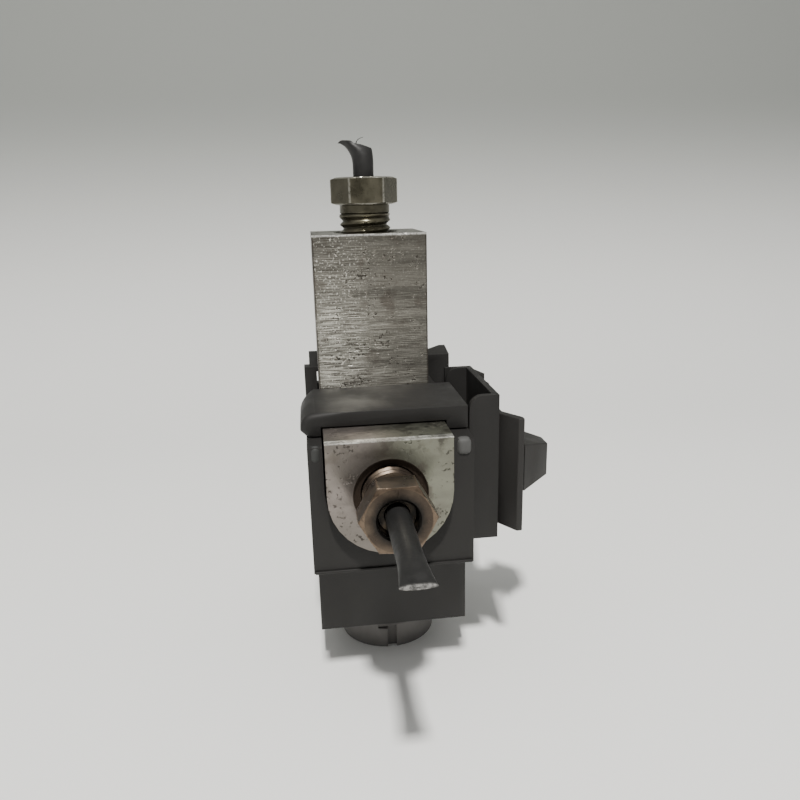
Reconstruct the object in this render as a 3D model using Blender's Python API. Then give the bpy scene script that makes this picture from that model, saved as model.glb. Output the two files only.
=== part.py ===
"""Solenoid valve: an aluminium body with two screwed tube fittings, in a plastic bracket over a square coil.

The coil stands on its round plug socket. The body's vertical column carries the outlet, and its foot reaches
to the front (-Y) and carries the inlet. A push-in clip on the right (+X) fastens the bracket to a panel.
Units are metres, +Z is up. Everything is laid out from the plunger's axis, and part_origin then moves that
layout so that the model's origin is the middle of its own box, at the level it stands on.
"""

import math

import bmesh
import bpy
from mathutils import Vector

for old in list(bpy.data.objects):
    bpy.data.objects.remove(old, do_unlink=True)

MM = 0.001
SEGMENTS = 32  # around a round piece
FINE_SEGMENTS = 48  # around the plug socket
MIDDLE_SEGMENTS = 24
SMALL_SEGMENTS = 16

# Clearances
SEAT = 0.3 * MM  # between pieces that rest on each other
SLIP = 0.2 * MM  # radial, round pieces that slide or turn in each other
CUT = 1.0 * MM  # how far a cutter runs past the face it opens

# Coil housing and plug socket
COIL_BOX = 30.0 * MM
COIL_BOX_SHIFT = 2.0 * MM  # the box is wider on the right, for the leads
COIL_BOX_HEIGHT = 21.6 * MM
COIL_WALL = 1.4 * MM
SOCKET_HEIGHT = 8.8 * MM
SOCKET_RADIUS = 10.3 * MM
SOCKET_WALL = 1.9 * MM
SOCKET_ROOF = 1.4 * MM  # from the socket's ceiling up to the box's underside
CAVITY_FLOOR = 2.3 * MM  # housing material from the box's underside up to the coil cavity
KEYWAY_WIDTH = 1.9 * MM  # bayonet grooves in the collar, open at its rim
KEYWAY_DEPTH = 0.9 * MM
KEYWAY_HEIGHT = 5.2 * MM
KEYWAY_LEG = (2.0 * MM, 0.8 * MM)  # the sideways part, its length and height
KEYWAYS = 3

# Valve body
BODY_WIDTH = 21.5 * MM
COLUMN_DEPTH = 18.2 * MM
COLUMN_RISE = 41.6 * MM  # from the inlet's axis to the column's top
FOOT_REACH = 25.2 * MM  # how far the foot stands out from the column
FOOT_RISE = 9.7 * MM  # from the inlet's axis to the foot's top
PORT_DEPTH = 11.0 * MM
SPOT_RADIUS = 6.35 * MM
SPOT_DEPTH = 0.8 * MM
PASSAGE_RADIUS = 1.4 * MM
OUTLET_PASSAGE_Y = 5.2 * MM
SUPPLY_RADIUS = 1.25 * MM
NOTCH_DEPTH = 1.2 * MM

# Bracket frame
FLOOR_THICKNESS = 4.2 * MM
LEFT_WALL = 2.55 * MM
RIGHT_WALL = 3.85 * MM
REAR_WALL = 2.4 * MM
CHEEK_SETBACK = 2.9 * MM  # the foot stands out of the bracket by this
CHEEK_RISE = 8.1 * MM  # from the inlet's axis to the cheeks' tops
REAR_RISE = 11.3 * MM  # the same, for the walls beside the column
LINER_WALL = 1.85 * MM  # a thin wall between the column and the right cheek's slot
LINER_RISE = 11.05 * MM
POST_LENGTH = 3.0 * MM  # a post in front of the left hook
POST_RISE = 14.3 * MM
HOOK_BACK = 7.0 * MM
HOOK_LENGTH = 5.0 * MM
HOOK_TOP = 16.7 * MM  # from the inlet's axis
RIGHT_HOOK_LIP = 15.7 * MM
LEFT_HOOK_LIP = 14.2 * MM
HOOK_FALL = 0.8 * MM  # how far the nose's back lies below its lip
HOOK_UNDERSIDE = 13.3 * MM
RIGHT_HOOK_REACH = 6.35 * MM  # from the column's side to the hook's outer face
LEFT_HOOK_REACH = 1.75 * MM
HOOK_RIDGE = 1.25 * MM

# Retaining strap
STRAP_SETBACK = 5.1 * MM  # behind the cheeks' front
STRAP_THICKNESS = 2.5 * MM
STRAP_OVERHANG = 1.0 * MM
STRAP_ROUND = 2.6 * MM
STRAP_CORNER = 5.2 * MM  # length of the slanted rear left corner, along the side
TONGUE_THICKNESS = 0.8 * MM
TONGUE_LENGTH = 8.0 * MM
TONGUE_DEPTH = 3.2 * MM

# Clip pocket on the bracket's right side
POCKET_REACH = 6.0 * MM
POCKET_WALL = 1.2 * MM
POCKET_LENGTH = 23.0 * MM
POCKET_SETBACK = 1.0 * MM  # behind the strap's front
POCKET_RISE = 13.8 * MM
POCKET_DROP = 14.0 * MM
POCKET_ROUND = 2.4 * MM
POCKET_BACKING = 0.4 * MM  # stands behind the pocket's rear wall, with a square corner
WEDGE_SIZE = (1.2 * MM, 4.2 * MM, 3.0 * MM)
WEDGE_FRONT = 4.6 * MM  # the wedge starts this far behind the clip's middle

# Mounting clip
CLIP_DROP = 2.75 * MM  # its middle below the inlet's axis
NECK_SIZE = (7.8 * MM, 6.4 * MM)  # along Y and Z
WINDOW_CLEARANCE = 0.3 * MM
HEAD_STEP = 1.3 * MM
HEAD_THICKNESS = 1.7 * MM
WING_HEIGHT = 21.9 * MM
WING_RISE = 1.5 * MM  # the wings' middle above the neck's
WING_THICKNESS = 1.1 * MM
WING_FLARE = 2.8 * MM
WING_SPAN = 26.8 * MM
PAD_SPAN = 18.2 * MM
BARB_GAP = 2.35 * MM  # between the wing tips and the barb
BARB_BASE = (12.4 * MM, 9.6 * MM)
BARB_TIP = (3.8 * MM, 6.6 * MM)
BARB_LENGTH = 6.0 * MM

# Solenoid
TUBE_RADIUS = 6.0 * MM
TUBE_WALL = 0.8 * MM
TUBE_FLANGE_WIDTH = 2.0 * MM
TUBE_FLANGE = 1.5 * MM  # its thickness
TUBE_TOP_GAP = 0.5 * MM
YOKE_THICKNESS = 1.5 * MM
YOKE_WIDTH = 16.8 * MM
BOBBIN_RADIUS = 9.4 * MM
BOBBIN_FLANGE = 1.0 * MM
BOBBIN_WALL = 0.9 * MM
WINDING_CLEARANCE = 0.25 * MM
CORE_LENGTH = 7.7 * MM
CORE_STUD_RADIUS = 2.8 * MM
VENT_RADIUS = 0.9 * MM
NOZZLE_RISE = 0.6 * MM
NOZZLE_RADIUS = 1.8 * MM
STROKE = 1.0 * MM
PLUNGER_GROOVE = (0.8 * MM, 1.6 * MM)  # depth and width of the flow grooves in its sides
PLUNGER_NECK_LENGTH = 5.4 * MM
SEAL_RADIUS = 2.4 * MM
SEAL_THICKNESS = 1.8 * MM
SEAT_TIP = 1.25 * MM
SEAT_TIP_RADIUS = 1.9 * MM
SEAT_RADIUS = 3.0 * MM
SEAT_LENGTH = 1.8 * MM
CHAMBER_ABOVE_BOTTOM = 6.9 * MM  # chamber roof over the body's lowest line
O_RING_WIRE = 0.8 * MM  # its radius
O_RING_GROOVE_DROP = 2.4 * MM  # from the chamber's roof down to the groove's lower wall
SPRING_WIRE = 0.3 * MM  # its radius
SPRING_TURNS = 3  # besides the closed one at each end
SPRING_CLEARANCE = 0.5 * MM  # radial, to the plunger's neck and to the tube

# Screws, terminals and vent
SCREW_X = 8.0 * MM
SCREW_RADIUS = 1.25 * MM
SCREW_LENGTH = 13.0 * MM
SCREW_HEAD_RADIUS = 2.6 * MM
SCREW_HEAD = 2.0 * MM
SCREW_SINK = 2.9 * MM  # bracket material under a screw's head
SCREW_HEAD_EDGE = 1.4 * MM  # height of the head's straight side
SCREW_HEAD_TOP_RADIUS = 2.1 * MM
SCREW_SOCKET_RADIUS = 1.0 * MM
SCREW_SOCKET_DEPTH = 1.2 * MM
BOSS_RADIUS = 2.6 * MM
PIN_Y = 3.6 * MM
PIN_RADIUS = 1.1 * MM
PIN_TIP = 1.6 * MM
BLADE_THICKNESS = 0.8 * MM
BLADE_WIDTH = 2.6 * MM
TAB_HEIGHT = 6.0 * MM
RESISTOR_RADIUS = 1.2 * MM
RESISTOR_DROP = 1.5 * MM  # below the tabs' tops
VENT_PLUG_RADIUS = 2.7 * MM
VENT_CAP_RADIUS = 3.8 * MM
VENT_CAP = 0.8 * MM

# Tube fittings, measured outwards from the port's face
THREAD_RADIUS = 4.9 * MM
THREAD_ENGAGED = 6.4 * MM
THREAD_SHOWN = 3.4 * MM
NECK_LENGTH = 1.8 * MM
NECK_RADIUS = 4.75 * MM
HEX_ACROSS_FLATS = 11.0 * MM
HEX_LENGTH = 5.1 * MM
MOUTH_RADIUS = 3.25 * MM
MOUTH_DEPTH = 9.3 * MM
LINE_RADIUS = 2.0 * MM
LINE_WALL = 0.75 * MM
LINE_INSIDE = 7.4 * MM  # how far the line reaches past the port's face, inwards
COLLET_FROM = 3.6 * MM
COLLET_LENGTH = 4.4 * MM
COLLET_TAPER = 1.3 * MM
GLAND_RING = 0.5 * MM
SLEEVE_WALL = 0.3 * MM
OUTLET_STUB = 6.3 * MM  # line beyond the hexagon
OUTLET_TAPER = 4.4 * MM  # its last stretch, which the cutters squeezed
OUTLET_PINCH = (5.4 * MM, 1.9 * MM)  # width and height of the squeezed end
OUTLET_LEAN = 1.2 * MM
INLET_STUB = 19.7 * MM
INLET_TAPER = 7.0 * MM
INLET_PINCH = (5.2 * MM, 1.5 * MM)

# ---- Places that follow from the sizes above, on the layout centred on the plunger's axis

box_left = COIL_BOX_SHIFT - COIL_BOX / 2
box_right = COIL_BOX_SHIFT + COIL_BOX / 2
box_front = -COIL_BOX / 2
box_back = COIL_BOX / 2
box_top = SOCKET_HEIGHT + COIL_BOX_HEIGHT
cavity_floor = SOCKET_HEIGHT + CAVITY_FLOOR
frame_bottom = box_top + SEAT
channel_radius = BODY_WIDTH / 2 + SEAT
channel_bottom = frame_bottom + FLOOR_THICKNESS
inlet_z = channel_bottom + channel_radius
body_side = BODY_WIDTH / 2
body_bottom = inlet_z - body_side
column_front = -COLUMN_DEPTH / 2
column_back = COLUMN_DEPTH / 2
column_top = inlet_z + COLUMN_RISE
foot_front = column_front - FOOT_REACH
foot_top = inlet_z + FOOT_RISE
frame_left = -channel_radius - LEFT_WALL
frame_right = channel_radius + RIGHT_WALL
frame_front = foot_front + CHEEK_SETBACK
frame_back = max(box_back, column_back + REAR_WALL + SEAT)
cheek_top = inlet_z + CHEEK_RISE
strap_front = frame_front + STRAP_SETBACK
strap_back = column_front - SEAT
strap_bottom = cheek_top + SEAT
strap_underside = foot_top + SEAT
strap_top = strap_underside + STRAP_THICKNESS
strap_left = frame_left - STRAP_OVERHANG
strap_right = frame_right
pocket_front = strap_front + POCKET_SETBACK
pocket_back = pocket_front + POCKET_LENGTH
pocket_right = frame_right + POCKET_REACH
pocket_top = inlet_z + POCKET_RISE
pocket_bottom = inlet_z - POCKET_DROP
clip_y = (pocket_front + pocket_back) / 2
clip_z = inlet_z - CLIP_DROP
pad_left = pocket_right + SEAT
wing_tip = pad_left + WING_THICKNESS + WING_FLARE
barb_base = wing_tip + BARB_GAP
barb_tip = barb_base + BARB_LENGTH
chamber_top = body_bottom + CHAMBER_ABOVE_BOTTOM
chamber_radius = TUBE_RADIUS + SEAT
flange_radius = TUBE_RADIUS + TUBE_FLANGE_WIDTH
bore_radius = TUBE_RADIUS - TUBE_WALL  # inside the armature tube
tube_top = chamber_top - TUBE_TOP_GAP
flange_top = channel_bottom
yoke_bottom = cavity_floor + SEAT
bobbin_bottom = yoke_bottom + YOKE_THICKNESS + SEAT
washer_bottom = box_top - SEAT - YOKE_THICKNESS
bobbin_top = washer_bottom - SEAT
core_bottom = bobbin_bottom
core_top = core_bottom + CORE_LENGTH
plunger_radius = bore_radius - SLIP
plunger_bottom = core_top + NOZZLE_RISE + STROKE
seat_tip_z = chamber_top + SLIP - SEAT_TIP
plunger_top = seat_tip_z - SLIP / 2
plunger_shoulder = plunger_bottom + PLUNGER_NECK_LENGTH
plunger_neck = bore_radius - 2 * (SPRING_WIRE + SPRING_CLEARANCE)
hex_start = THREAD_SHOWN + NECK_LENGTH
hex_end = hex_start + HEX_LENGTH
screw_y = YOKE_WIDTH / 2 + BOSS_RADIUS + 2 * SEAT
vent_z = box_top - COIL_BOX_HEIGHT / 2
vent_back = box_back + SEAT + VENT_CAP
line_inner = LINE_RADIUS - LINE_WALL

centre_x = (strap_left + barb_tip) / 2
centre_y = (foot_front - hex_end - INLET_STUB + vent_back) / 2

part_origin = bpy.data.objects.new("part_origin", None)
part_origin.location = (-centre_x, -centre_y, 0)
bpy.context.scene.collection.objects.link(part_origin)


# ---- Tools of the workshop


def material(name, colour, roughness, metallic):
    made = bpy.data.materials.new(name)
    made.use_nodes = True
    shader = made.node_tree.nodes["Principled BSDF"]
    shader.inputs["Base Color"].default_value = (*colour, 1)
    shader.inputs["Roughness"].default_value = roughness
    shader.inputs["Metallic"].default_value = metallic
    return made


ALUMINIUM = material("milled_aluminium", (0.50, 0.49, 0.46), 0.42, 1.0)
PLATED = material("plated_steel", (0.42, 0.38, 0.30), 0.35, 1.0)
STEEL = material("soft_steel", (0.45, 0.45, 0.46), 0.40, 1.0)
STAINLESS = material("stainless", (0.62, 0.62, 0.62), 0.30, 1.0)
BRASS = material("brass", (0.70, 0.52, 0.24), 0.35, 1.0)
COPPER = material("enamelled_copper", (0.60, 0.25, 0.10), 0.35, 1.0)
NYLON = material("black_nylon", (0.035, 0.034, 0.032), 0.55, 0.0)
BOBBIN_PLASTIC = material("bobbin_plastic", (0.55, 0.52, 0.45), 0.50, 0.0)
RUBBER = material("black_rubber", (0.02, 0.02, 0.02), 0.75, 0.0)
LINE_PLASTIC = material("line_plastic", (0.03, 0.03, 0.03), 0.50, 0.0)
RESISTOR = material("resistor_ceramic", (0.30, 0.42, 0.50), 0.60, 0.0)


def add(name, mesh_or_bmesh, finish=None, at=(0, 0, 0), turn=(0, 0, 0)):
    """Links a piece under part_origin. Without a finish it cuts or joins another piece, and stays hidden."""
    mesh = mesh_or_bmesh
    if isinstance(mesh, bmesh.types.BMesh):
        bmesh.ops.recalc_face_normals(mesh_or_bmesh, faces=mesh_or_bmesh.faces)
        mesh = bpy.data.meshes.new(name)
        mesh_or_bmesh.to_mesh(mesh)
        mesh_or_bmesh.free()
    made = bpy.data.objects.new(name, mesh)
    bpy.context.scene.collection.objects.link(made)
    made.parent = part_origin
    made.location = at
    made.rotation_euler = turn
    if finish is None:
        made.hide_render = True
        made.display_type = "WIRE"
    else:
        mesh.materials.append(finish)
        mesh.shade_smooth()
        mesh.set_sharp_from_angle(angle=math.radians(35))
    return made


def block(low, high):
    """A box between two corners."""
    shape = bmesh.new()
    bmesh.ops.create_cube(shape, size=1)
    for vert in shape.verts:
        vert.co = Vector(
            [high[i] if vert.co[i] > 0 else low[i] for i in range(3)]
        )
    return shape


def prism(outline, axis, low, high):
    """An outline of (u, v) points pushed along an axis: X takes (y, z), Y takes (x, z) and Z takes (x, y)."""
    shape = bmesh.new()
    place = {
        "X": lambda u, v, w: (w, u, v),
        "Y": lambda u, v, w: (u, w, v),
        "Z": lambda u, v, w: (u, v, w),
    }[axis]
    face = shape.faces.new([shape.verts.new(place(u, v, low)) for u, v in outline])
    pushed = bmesh.ops.extrude_face_region(shape, geom=[face])
    shift = Vector(place(0, 0, high - low))
    for item in pushed["geom"]:
        if isinstance(item, bmesh.types.BMVert):
            item.co += shift
    return shape


def turned(profile, segments=SEGMENTS):
    """A closed (radius, height) profile turned about Z. It is solid if it starts and ends on the axis."""
    shape = bmesh.new()
    rings = []
    for radius, height in profile:
        if radius == 0:
            rings.append([shape.verts.new((0, 0, height))])
            continue
        ring = []
        for i in range(segments):
            angle = 2 * math.pi * i / segments
            ring.append(
                shape.verts.new((radius * math.cos(angle), radius * math.sin(angle), height))
            )
        rings.append(ring)
    solid = profile[0][0] == 0
    pairs = list(zip(rings, rings[1:]))
    if not solid:
        pairs.append((rings[-1], rings[0]))
    for first, second in pairs:
        for i in range(segments):
            j = (i + 1) % segments
            corners = [
                first[i % len(first)],
                first[j % len(first)],
                second[j % len(second)],
                second[i % len(second)],
            ]
            shape.faces.new(list(dict.fromkeys(corners)))
    return shape


def cylinder(radius, low, high, segments=SEGMENTS):
    return turned([(0, low), (radius, low), (radius, high), (0, high)], segments)


def pipe(inner, outer, low, high, segments=SEGMENTS):
    return turned([(inner, low), (outer, low), (outer, high), (inner, high)], segments)


def ring_of(radius, wire, height, segments=SEGMENTS, sides=10):
    """The profile of an O-ring whose wire's middle runs at radius and height."""
    steps = [2 * math.pi * i / sides for i in range(sides)]
    return turned(
        [(radius + wire * math.cos(a), height + wire * math.sin(a)) for a in steps], segments
    )


def hull(points):
    shape = bmesh.new()
    for point in points:
        shape.verts.new(point)
    made = bmesh.ops.convex_hull(shape, input=shape.verts)
    bmesh.ops.delete(shape, geom=made["geom_interior"], context="VERTS")
    return shape


def arc(centre_u, centre_v, radius, start, end, steps):
    """Points on a circle from one angle to another, in degrees."""
    angles = [math.radians(start + (end - start) * i / steps) for i in range(steps + 1)]
    return [(centre_u + radius * math.cos(a), centre_v + radius * math.sin(a)) for a in angles]


def operands(piece, operation):
    """The collection of shapes that one Boolean on the piece takes, made when the first of them comes."""
    modifier = piece.modifiers.get(operation)
    if modifier is None:
        modifier = piece.modifiers.new(operation, "BOOLEAN")
        modifier.operation = operation
        modifier.operand_type = "COLLECTION"
        modifier.collection = bpy.data.collections.new(f"{piece.name}_{operation.lower()}")
    return modifier.collection


def cut(piece, name, shape, at=(0, 0, 0), turn=(0, 0, 0)):
    cutter = add(f"{piece.name}_{name}", shape, at=at, turn=turn)
    operands(piece, "DIFFERENCE").objects.link(cutter)
    return cutter


def join(piece, name, shape, at=(0, 0, 0), turn=(0, 0, 0)):
    """Joins come before cuts on every piece."""
    operands(piece, "UNION").objects.link(add(f"{piece.name}_{name}", shape, at=at, turn=turn))


FORWARD = (math.pi / 2, 0, 0)  # turns a shape's own +Z to -Y
BACKWARD = (-math.pi / 2, 0, 0)  # turns a shape's own +Z to +Y
inlet_face = (0, foot_front, inlet_z)
outlet_face = (0, 0, column_top)


# ---- Valve body: one aluminium extrusion, U-shaped underneath, milled away above the foot


def u_outline(half_width, top, centre_z):
    """A U seen from the front: straight sides, round bottom."""
    return [
        (half_width, top),
        (-half_width, top),
        *arc(0, centre_z, half_width, 180, 360, SEGMENTS // 2),
    ]


def make_valve_body():
    body = add(
        "valve_body",
        prism(u_outline(body_side, column_top, inlet_z), "Y", foot_front, column_back),
        ALUMINIUM,
    )
    cut(
        body,
        "milled_step",
        block(
            (-body_side - CUT, foot_front - CUT, foot_top),
            (body_side + CUT, column_front, column_top + CUT),
        ),
    )
    for port, place, turn in (("inlet", inlet_face, FORWARD), ("outlet", outlet_face, (0, 0, 0))):
        cut(body, f"{port}_port", cylinder(THREAD_RADIUS + SLIP, -PORT_DEPTH, CUT), place, turn)
        cut(body, f"{port}_spot", cylinder(SPOT_RADIUS, -SPOT_DEPTH, CUT), place, turn)
    supply_length = abs(foot_front) + SUPPLY_RADIUS
    cut(body, "supply", cylinder(SUPPLY_RADIUS, -supply_length, 0, SMALL_SEGMENTS), inlet_face, FORWARD)
    cut(
        body,
        "seat_bore",
        turned(
            [
                (0, chamber_top - CUT),
                (SEAT_RADIUS + SLIP, chamber_top - CUT),
                (SEAT_RADIUS + SLIP, chamber_top + SLIP + SEAT_LENGTH + SEAT),
                (SUPPLY_RADIUS, chamber_top + SLIP + SEAT_LENGTH + SEAT),
                (SUPPLY_RADIUS, inlet_z),
                (0, inlet_z),
            ],
            MIDDLE_SEGMENTS,
        ),
    )
    cut(
        body,
        "outlet_passage",
        cylinder(PASSAGE_RADIUS, chamber_top - CUT, column_top - PORT_DEPTH + CUT, SMALL_SEGMENTS),
        (0, OUTLET_PASSAGE_Y, 0),
    )
    groove_radius = chamber_radius + 2 * O_RING_WIRE - SEAT / 2
    groove_low = chamber_top - O_RING_GROOVE_DROP
    groove_high = groove_low + 2 * O_RING_WIRE + SLIP
    cut(
        body,
        "chamber",
        turned(
            [
                (0, body_bottom - CUT),
                (chamber_radius, body_bottom - CUT),
                (chamber_radius, groove_low),
                (groove_radius, groove_low),
                (groove_radius, groove_high),
                (chamber_radius, groove_high),
                (chamber_radius, chamber_top),
                (0, chamber_top),
            ],
        ),
    )
    notch_low = inlet_z + HOOK_UNDERSIDE - SEAT
    for side in (-1, 1):
        inner, outer = side * (body_side - NOTCH_DEPTH), side * (body_side + CUT)
        cut(
            body,
            f"notch_{'left' if side < 0 else 'right'}",
            block(
                (min(inner, outer), HOOK_BACK - HOOK_LENGTH - SEAT, notch_low),
                (max(inner, outer), HOOK_BACK + SEAT, inlet_z + HOOK_TOP + SEAT),
            ),
        )
    add(
        "chamber_o_ring",
        ring_of(
            TUBE_RADIUS + SLIP / 2 + O_RING_WIRE, O_RING_WIRE, (groove_low + groove_high) / 2
        ),
        RUBBER,
    )


make_valve_body()


# ---- Valve seat: a brass nozzle pressed into the chamber's roof


def make_valve_seat():
    shoulder = chamber_top + SLIP
    add(
        "valve_seat",
        turned(
            [
                (SUPPLY_RADIUS - SLIP, seat_tip_z),
                (SEAT_TIP_RADIUS, seat_tip_z),
                (SEAT_TIP_RADIUS, shoulder),
                (SEAT_RADIUS, shoulder),
                (SEAT_RADIUS, shoulder + SEAT_LENGTH),
                (SUPPLY_RADIUS - SLIP, shoulder + SEAT_LENGTH),
            ],
            MIDDLE_SEGMENTS,
        ),
        BRASS,
    )


make_valve_seat()


# ---- Bracket frame: a plastic cradle with cheeks, snap hooks and a pocket for the clip


def hook(side, outer, lip, ridge):
    """A snap hook whose nose reaches into the column's notch. Its top ramps up to a ridge at the back."""
    tip = side * (body_side - NOTCH_DEPTH + SEAT)
    spine = outer - side * ridge
    front, back = HOOK_BACK - HOOK_LENGTH, HOOK_BACK
    low, top = inlet_z + HOOK_UNDERSIDE, inlet_z + HOOK_TOP
    return hull(
        [
            (tip, front, low),
            (outer, front, low),
            (tip, back, low),
            (outer, back, low),
            (tip, front, inlet_z + lip),
            (outer, front, inlet_z + lip),
            (tip, back, inlet_z + lip - HOOK_FALL),
            (spine, back, top),
            (outer, back, top),
        ]
    )


def make_bracket_frame():
    frame = add(
        "bracket_frame",
        block((frame_left, frame_front, frame_bottom), (frame_right, frame_back, cheek_top)),
        NYLON,
    )
    wall_top = inlet_z + REAR_RISE
    right_outer = body_side + RIGHT_HOOK_REACH
    left_outer = -body_side - LEFT_HOOK_REACH
    overlap = CUT / 2
    hook_front = HOOK_BACK - HOOK_LENGTH
    join(
        frame,
        "left_wall",
        block((frame_left, hook_front, cheek_top - CUT), (-channel_radius, frame_back, wall_top)),
    )
    join(
        frame,
        "left_post",
        block(
            (frame_left, hook_front, cheek_top),
            (-channel_radius, hook_front + POST_LENGTH, inlet_z + POST_RISE),
        ),
    )
    join(
        frame,
        "right_wall",
        block((channel_radius, hook_front, frame_bottom), (right_outer, frame_back, wall_top)),
    )
    join(
        frame,
        "liner",
        block(
            (channel_radius, strap_back + SEAT, cheek_top - CUT),
            (channel_radius + LINER_WALL, hook_front + overlap, inlet_z + LINER_RISE),
        ),
    )
    right_stem = block(
        (channel_radius, hook_front, wall_top - CUT),
        (right_outer, HOOK_BACK, inlet_z + HOOK_UNDERSIDE + overlap),
    )
    join(frame, "right_stem", right_stem)
    left_stem = block(
        (left_outer, hook_front, wall_top - CUT),
        (-channel_radius, HOOK_BACK, inlet_z + HOOK_UNDERSIDE + overlap),
    )
    join(frame, "left_stem", left_stem)
    left_ridge = LEFT_HOOK_REACH + NOTCH_DEPTH - SEAT  # the left nose is flat on top
    join(frame, "left_hook", hook(-1, left_outer, LEFT_HOOK_LIP, left_ridge))
    join(frame, "right_hook", hook(1, right_outer, RIGHT_HOOK_LIP, HOOK_RIDGE))
    round_u = frame_right + overlap + POCKET_ROUND
    pocket_outline = [
        (frame_right - overlap, pocket_bottom),
        (pocket_right, pocket_bottom),
        (pocket_right, pocket_top),
        *arc(round_u, pocket_top - POCKET_ROUND, POCKET_ROUND, 90, 180, 6),
        (frame_right + overlap, cheek_top - overlap),
        (frame_right - overlap, cheek_top - overlap),
    ]
    join(frame, "pocket", prism(pocket_outline, "Y", pocket_front, pocket_back))
    backing = block(
        (right_outer - LINER_WALL, pocket_back - overlap, pocket_top - 2 * POCKET_ROUND),
        (pocket_right, pocket_back + POCKET_BACKING, pocket_top),
    )
    join(frame, "pocket_backing", backing)
    wedge_out, wedge_length, wedge_height = WEDGE_SIZE
    wedge_front = clip_y + WEDGE_FRONT
    wedge = [
        (pocket_right - overlap, wedge_front),
        (pocket_right + wedge_out, wedge_front),
        (pocket_right, wedge_front + wedge_length),
        (pocket_right - overlap, wedge_front + wedge_length),
    ]
    join(frame, "pocket_wedge", prism(wedge, "Z", pocket_top - wedge_height, pocket_top))
    cut(
        frame,
        "pocket_inside",
        block(
            (frame_right, pocket_front + POCKET_WALL, pocket_bottom + POCKET_WALL),
            (pocket_right - POCKET_WALL, pocket_back - POCKET_WALL, pocket_top + CUT),
        ),
    )
    half_y = NECK_SIZE[0] / 2 + WINDOW_CLEARANCE
    half_z = NECK_SIZE[1] / 2 + WINDOW_CLEARANCE
    cut(
        frame,
        "clip_window",
        block(
            (pocket_right - POCKET_WALL - CUT, clip_y - half_y, clip_z - half_z),
            (pocket_right + CUT, clip_y + half_y, clip_z + half_z),
        ),
    )
    channel_back = column_back + SEAT
    cut(
        frame,
        "channel",
        prism(
            u_outline(channel_radius, inlet_z + HOOK_UNDERSIDE - SEAT, inlet_z),
            "Y",
            frame_front - CUT,
            channel_back,
        ),
    )
    cut(
        frame,
        "rear_space",
        block(
            (-channel_radius, channel_back - CUT, frame_bottom + FLOOR_THICKNESS),
            (channel_radius, frame_back - REAR_WALL, wall_top + CUT),
        ),
    )
    cut(
        frame,
        "rear_wall_drop",
        block(
            (-channel_radius, frame_back - REAR_WALL - CUT, cheek_top),
            (channel_radius, frame_back + CUT, wall_top + CUT),
        ),
    )
    cut(
        frame,
        "tube_hole",
        turned(
            [
                (0, frame_bottom - CUT),
                (chamber_radius, frame_bottom - CUT),
                (chamber_radius, flange_top - TUBE_FLANGE - SEAT),
                (flange_radius + SEAT, flange_top - TUBE_FLANGE - SEAT),
                (flange_radius + SEAT, inlet_z),
                (0, inlet_z),
            ]
        ),
    )
    screw_seat = frame_bottom + SCREW_SINK
    for number, (x, y) in enumerate(screw_places, 1):
        cut(
            frame,
            f"screw_hole_{number}",
            turned(
                [
                    (0, frame_bottom - CUT),
                    (SCREW_RADIUS + SEAT, frame_bottom - CUT),
                    (SCREW_RADIUS + SEAT, screw_seat),
                    (SCREW_HEAD_RADIUS + SEAT, screw_seat),
                    (SCREW_HEAD_RADIUS + SEAT, inlet_z),
                    (0, inlet_z),
                ],
                SMALL_SEGMENTS,
            ),
            (x, y, 0),
        )
    for name, low, high in tongues:
        grown_low = Vector(low) - Vector((SLIP, SLIP, SEAT))
        grown_high = Vector(high) + Vector((SLIP, SLIP, CUT))
        cut(frame, f"{name}_slot", block(grown_low, grown_high))


screw_places = [(x, y) for x in (-SCREW_X, SCREW_X) for y in (-screw_y, screw_y)]
tongue_y = (strap_front + strap_back) / 2
tongues = [
    (
        name,
        (middle - TONGUE_THICKNESS / 2, tongue_y - TONGUE_LENGTH / 2, strap_bottom - TONGUE_DEPTH),
        (middle + TONGUE_THICKNESS / 2, tongue_y + TONGUE_LENGTH / 2, strap_bottom),
    )
    for name, middle in (
        ("left_tongue", -channel_radius - LEFT_WALL / 2),
        ("right_tongue", channel_radius + RIGHT_WALL / 2),
    )
]
make_bracket_frame()


# ---- Retaining strap: a bridge over the foot, with tongues pressed into slots in the cheeks


def make_retaining_strap():
    outline = [
        (-channel_radius, strap_bottom),
        (-channel_radius, strap_underside),
        (channel_radius, strap_underside),
        (channel_radius, strap_bottom),
        (strap_right, strap_bottom),
        (strap_right, strap_top),
        *arc(strap_left + STRAP_ROUND, strap_top - STRAP_ROUND, STRAP_ROUND, 90, 180, 6),
        (strap_left, strap_bottom + STRAP_OVERHANG),
        (strap_left + STRAP_OVERHANG, strap_bottom),
    ]
    strap = add("retaining_strap", prism(outline, "Y", strap_front, strap_back), NYLON)
    for name, low, high in tongues:
        join(strap, name, block(low, Vector(high) + Vector((0, 0, STRAP_THICKNESS / 2))))
    cut(
        strap,
        "corner",
        prism(
            [
                (strap_left - CUT, strap_back + CUT),
                (strap_left - CUT, strap_back - STRAP_CORNER),
                (strap_left, strap_back - STRAP_CORNER),
                (strap_left + STRAP_ROUND, strap_back),
                (strap_left + STRAP_ROUND, strap_back + CUT),
            ],
            "Z",
            strap_bottom - CUT,
            strap_top + CUT,
        ),
    )


make_retaining_strap()


# ---- Mounting clip: snapped through the pocket's window, with spring wings and a barb for the panel


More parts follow.
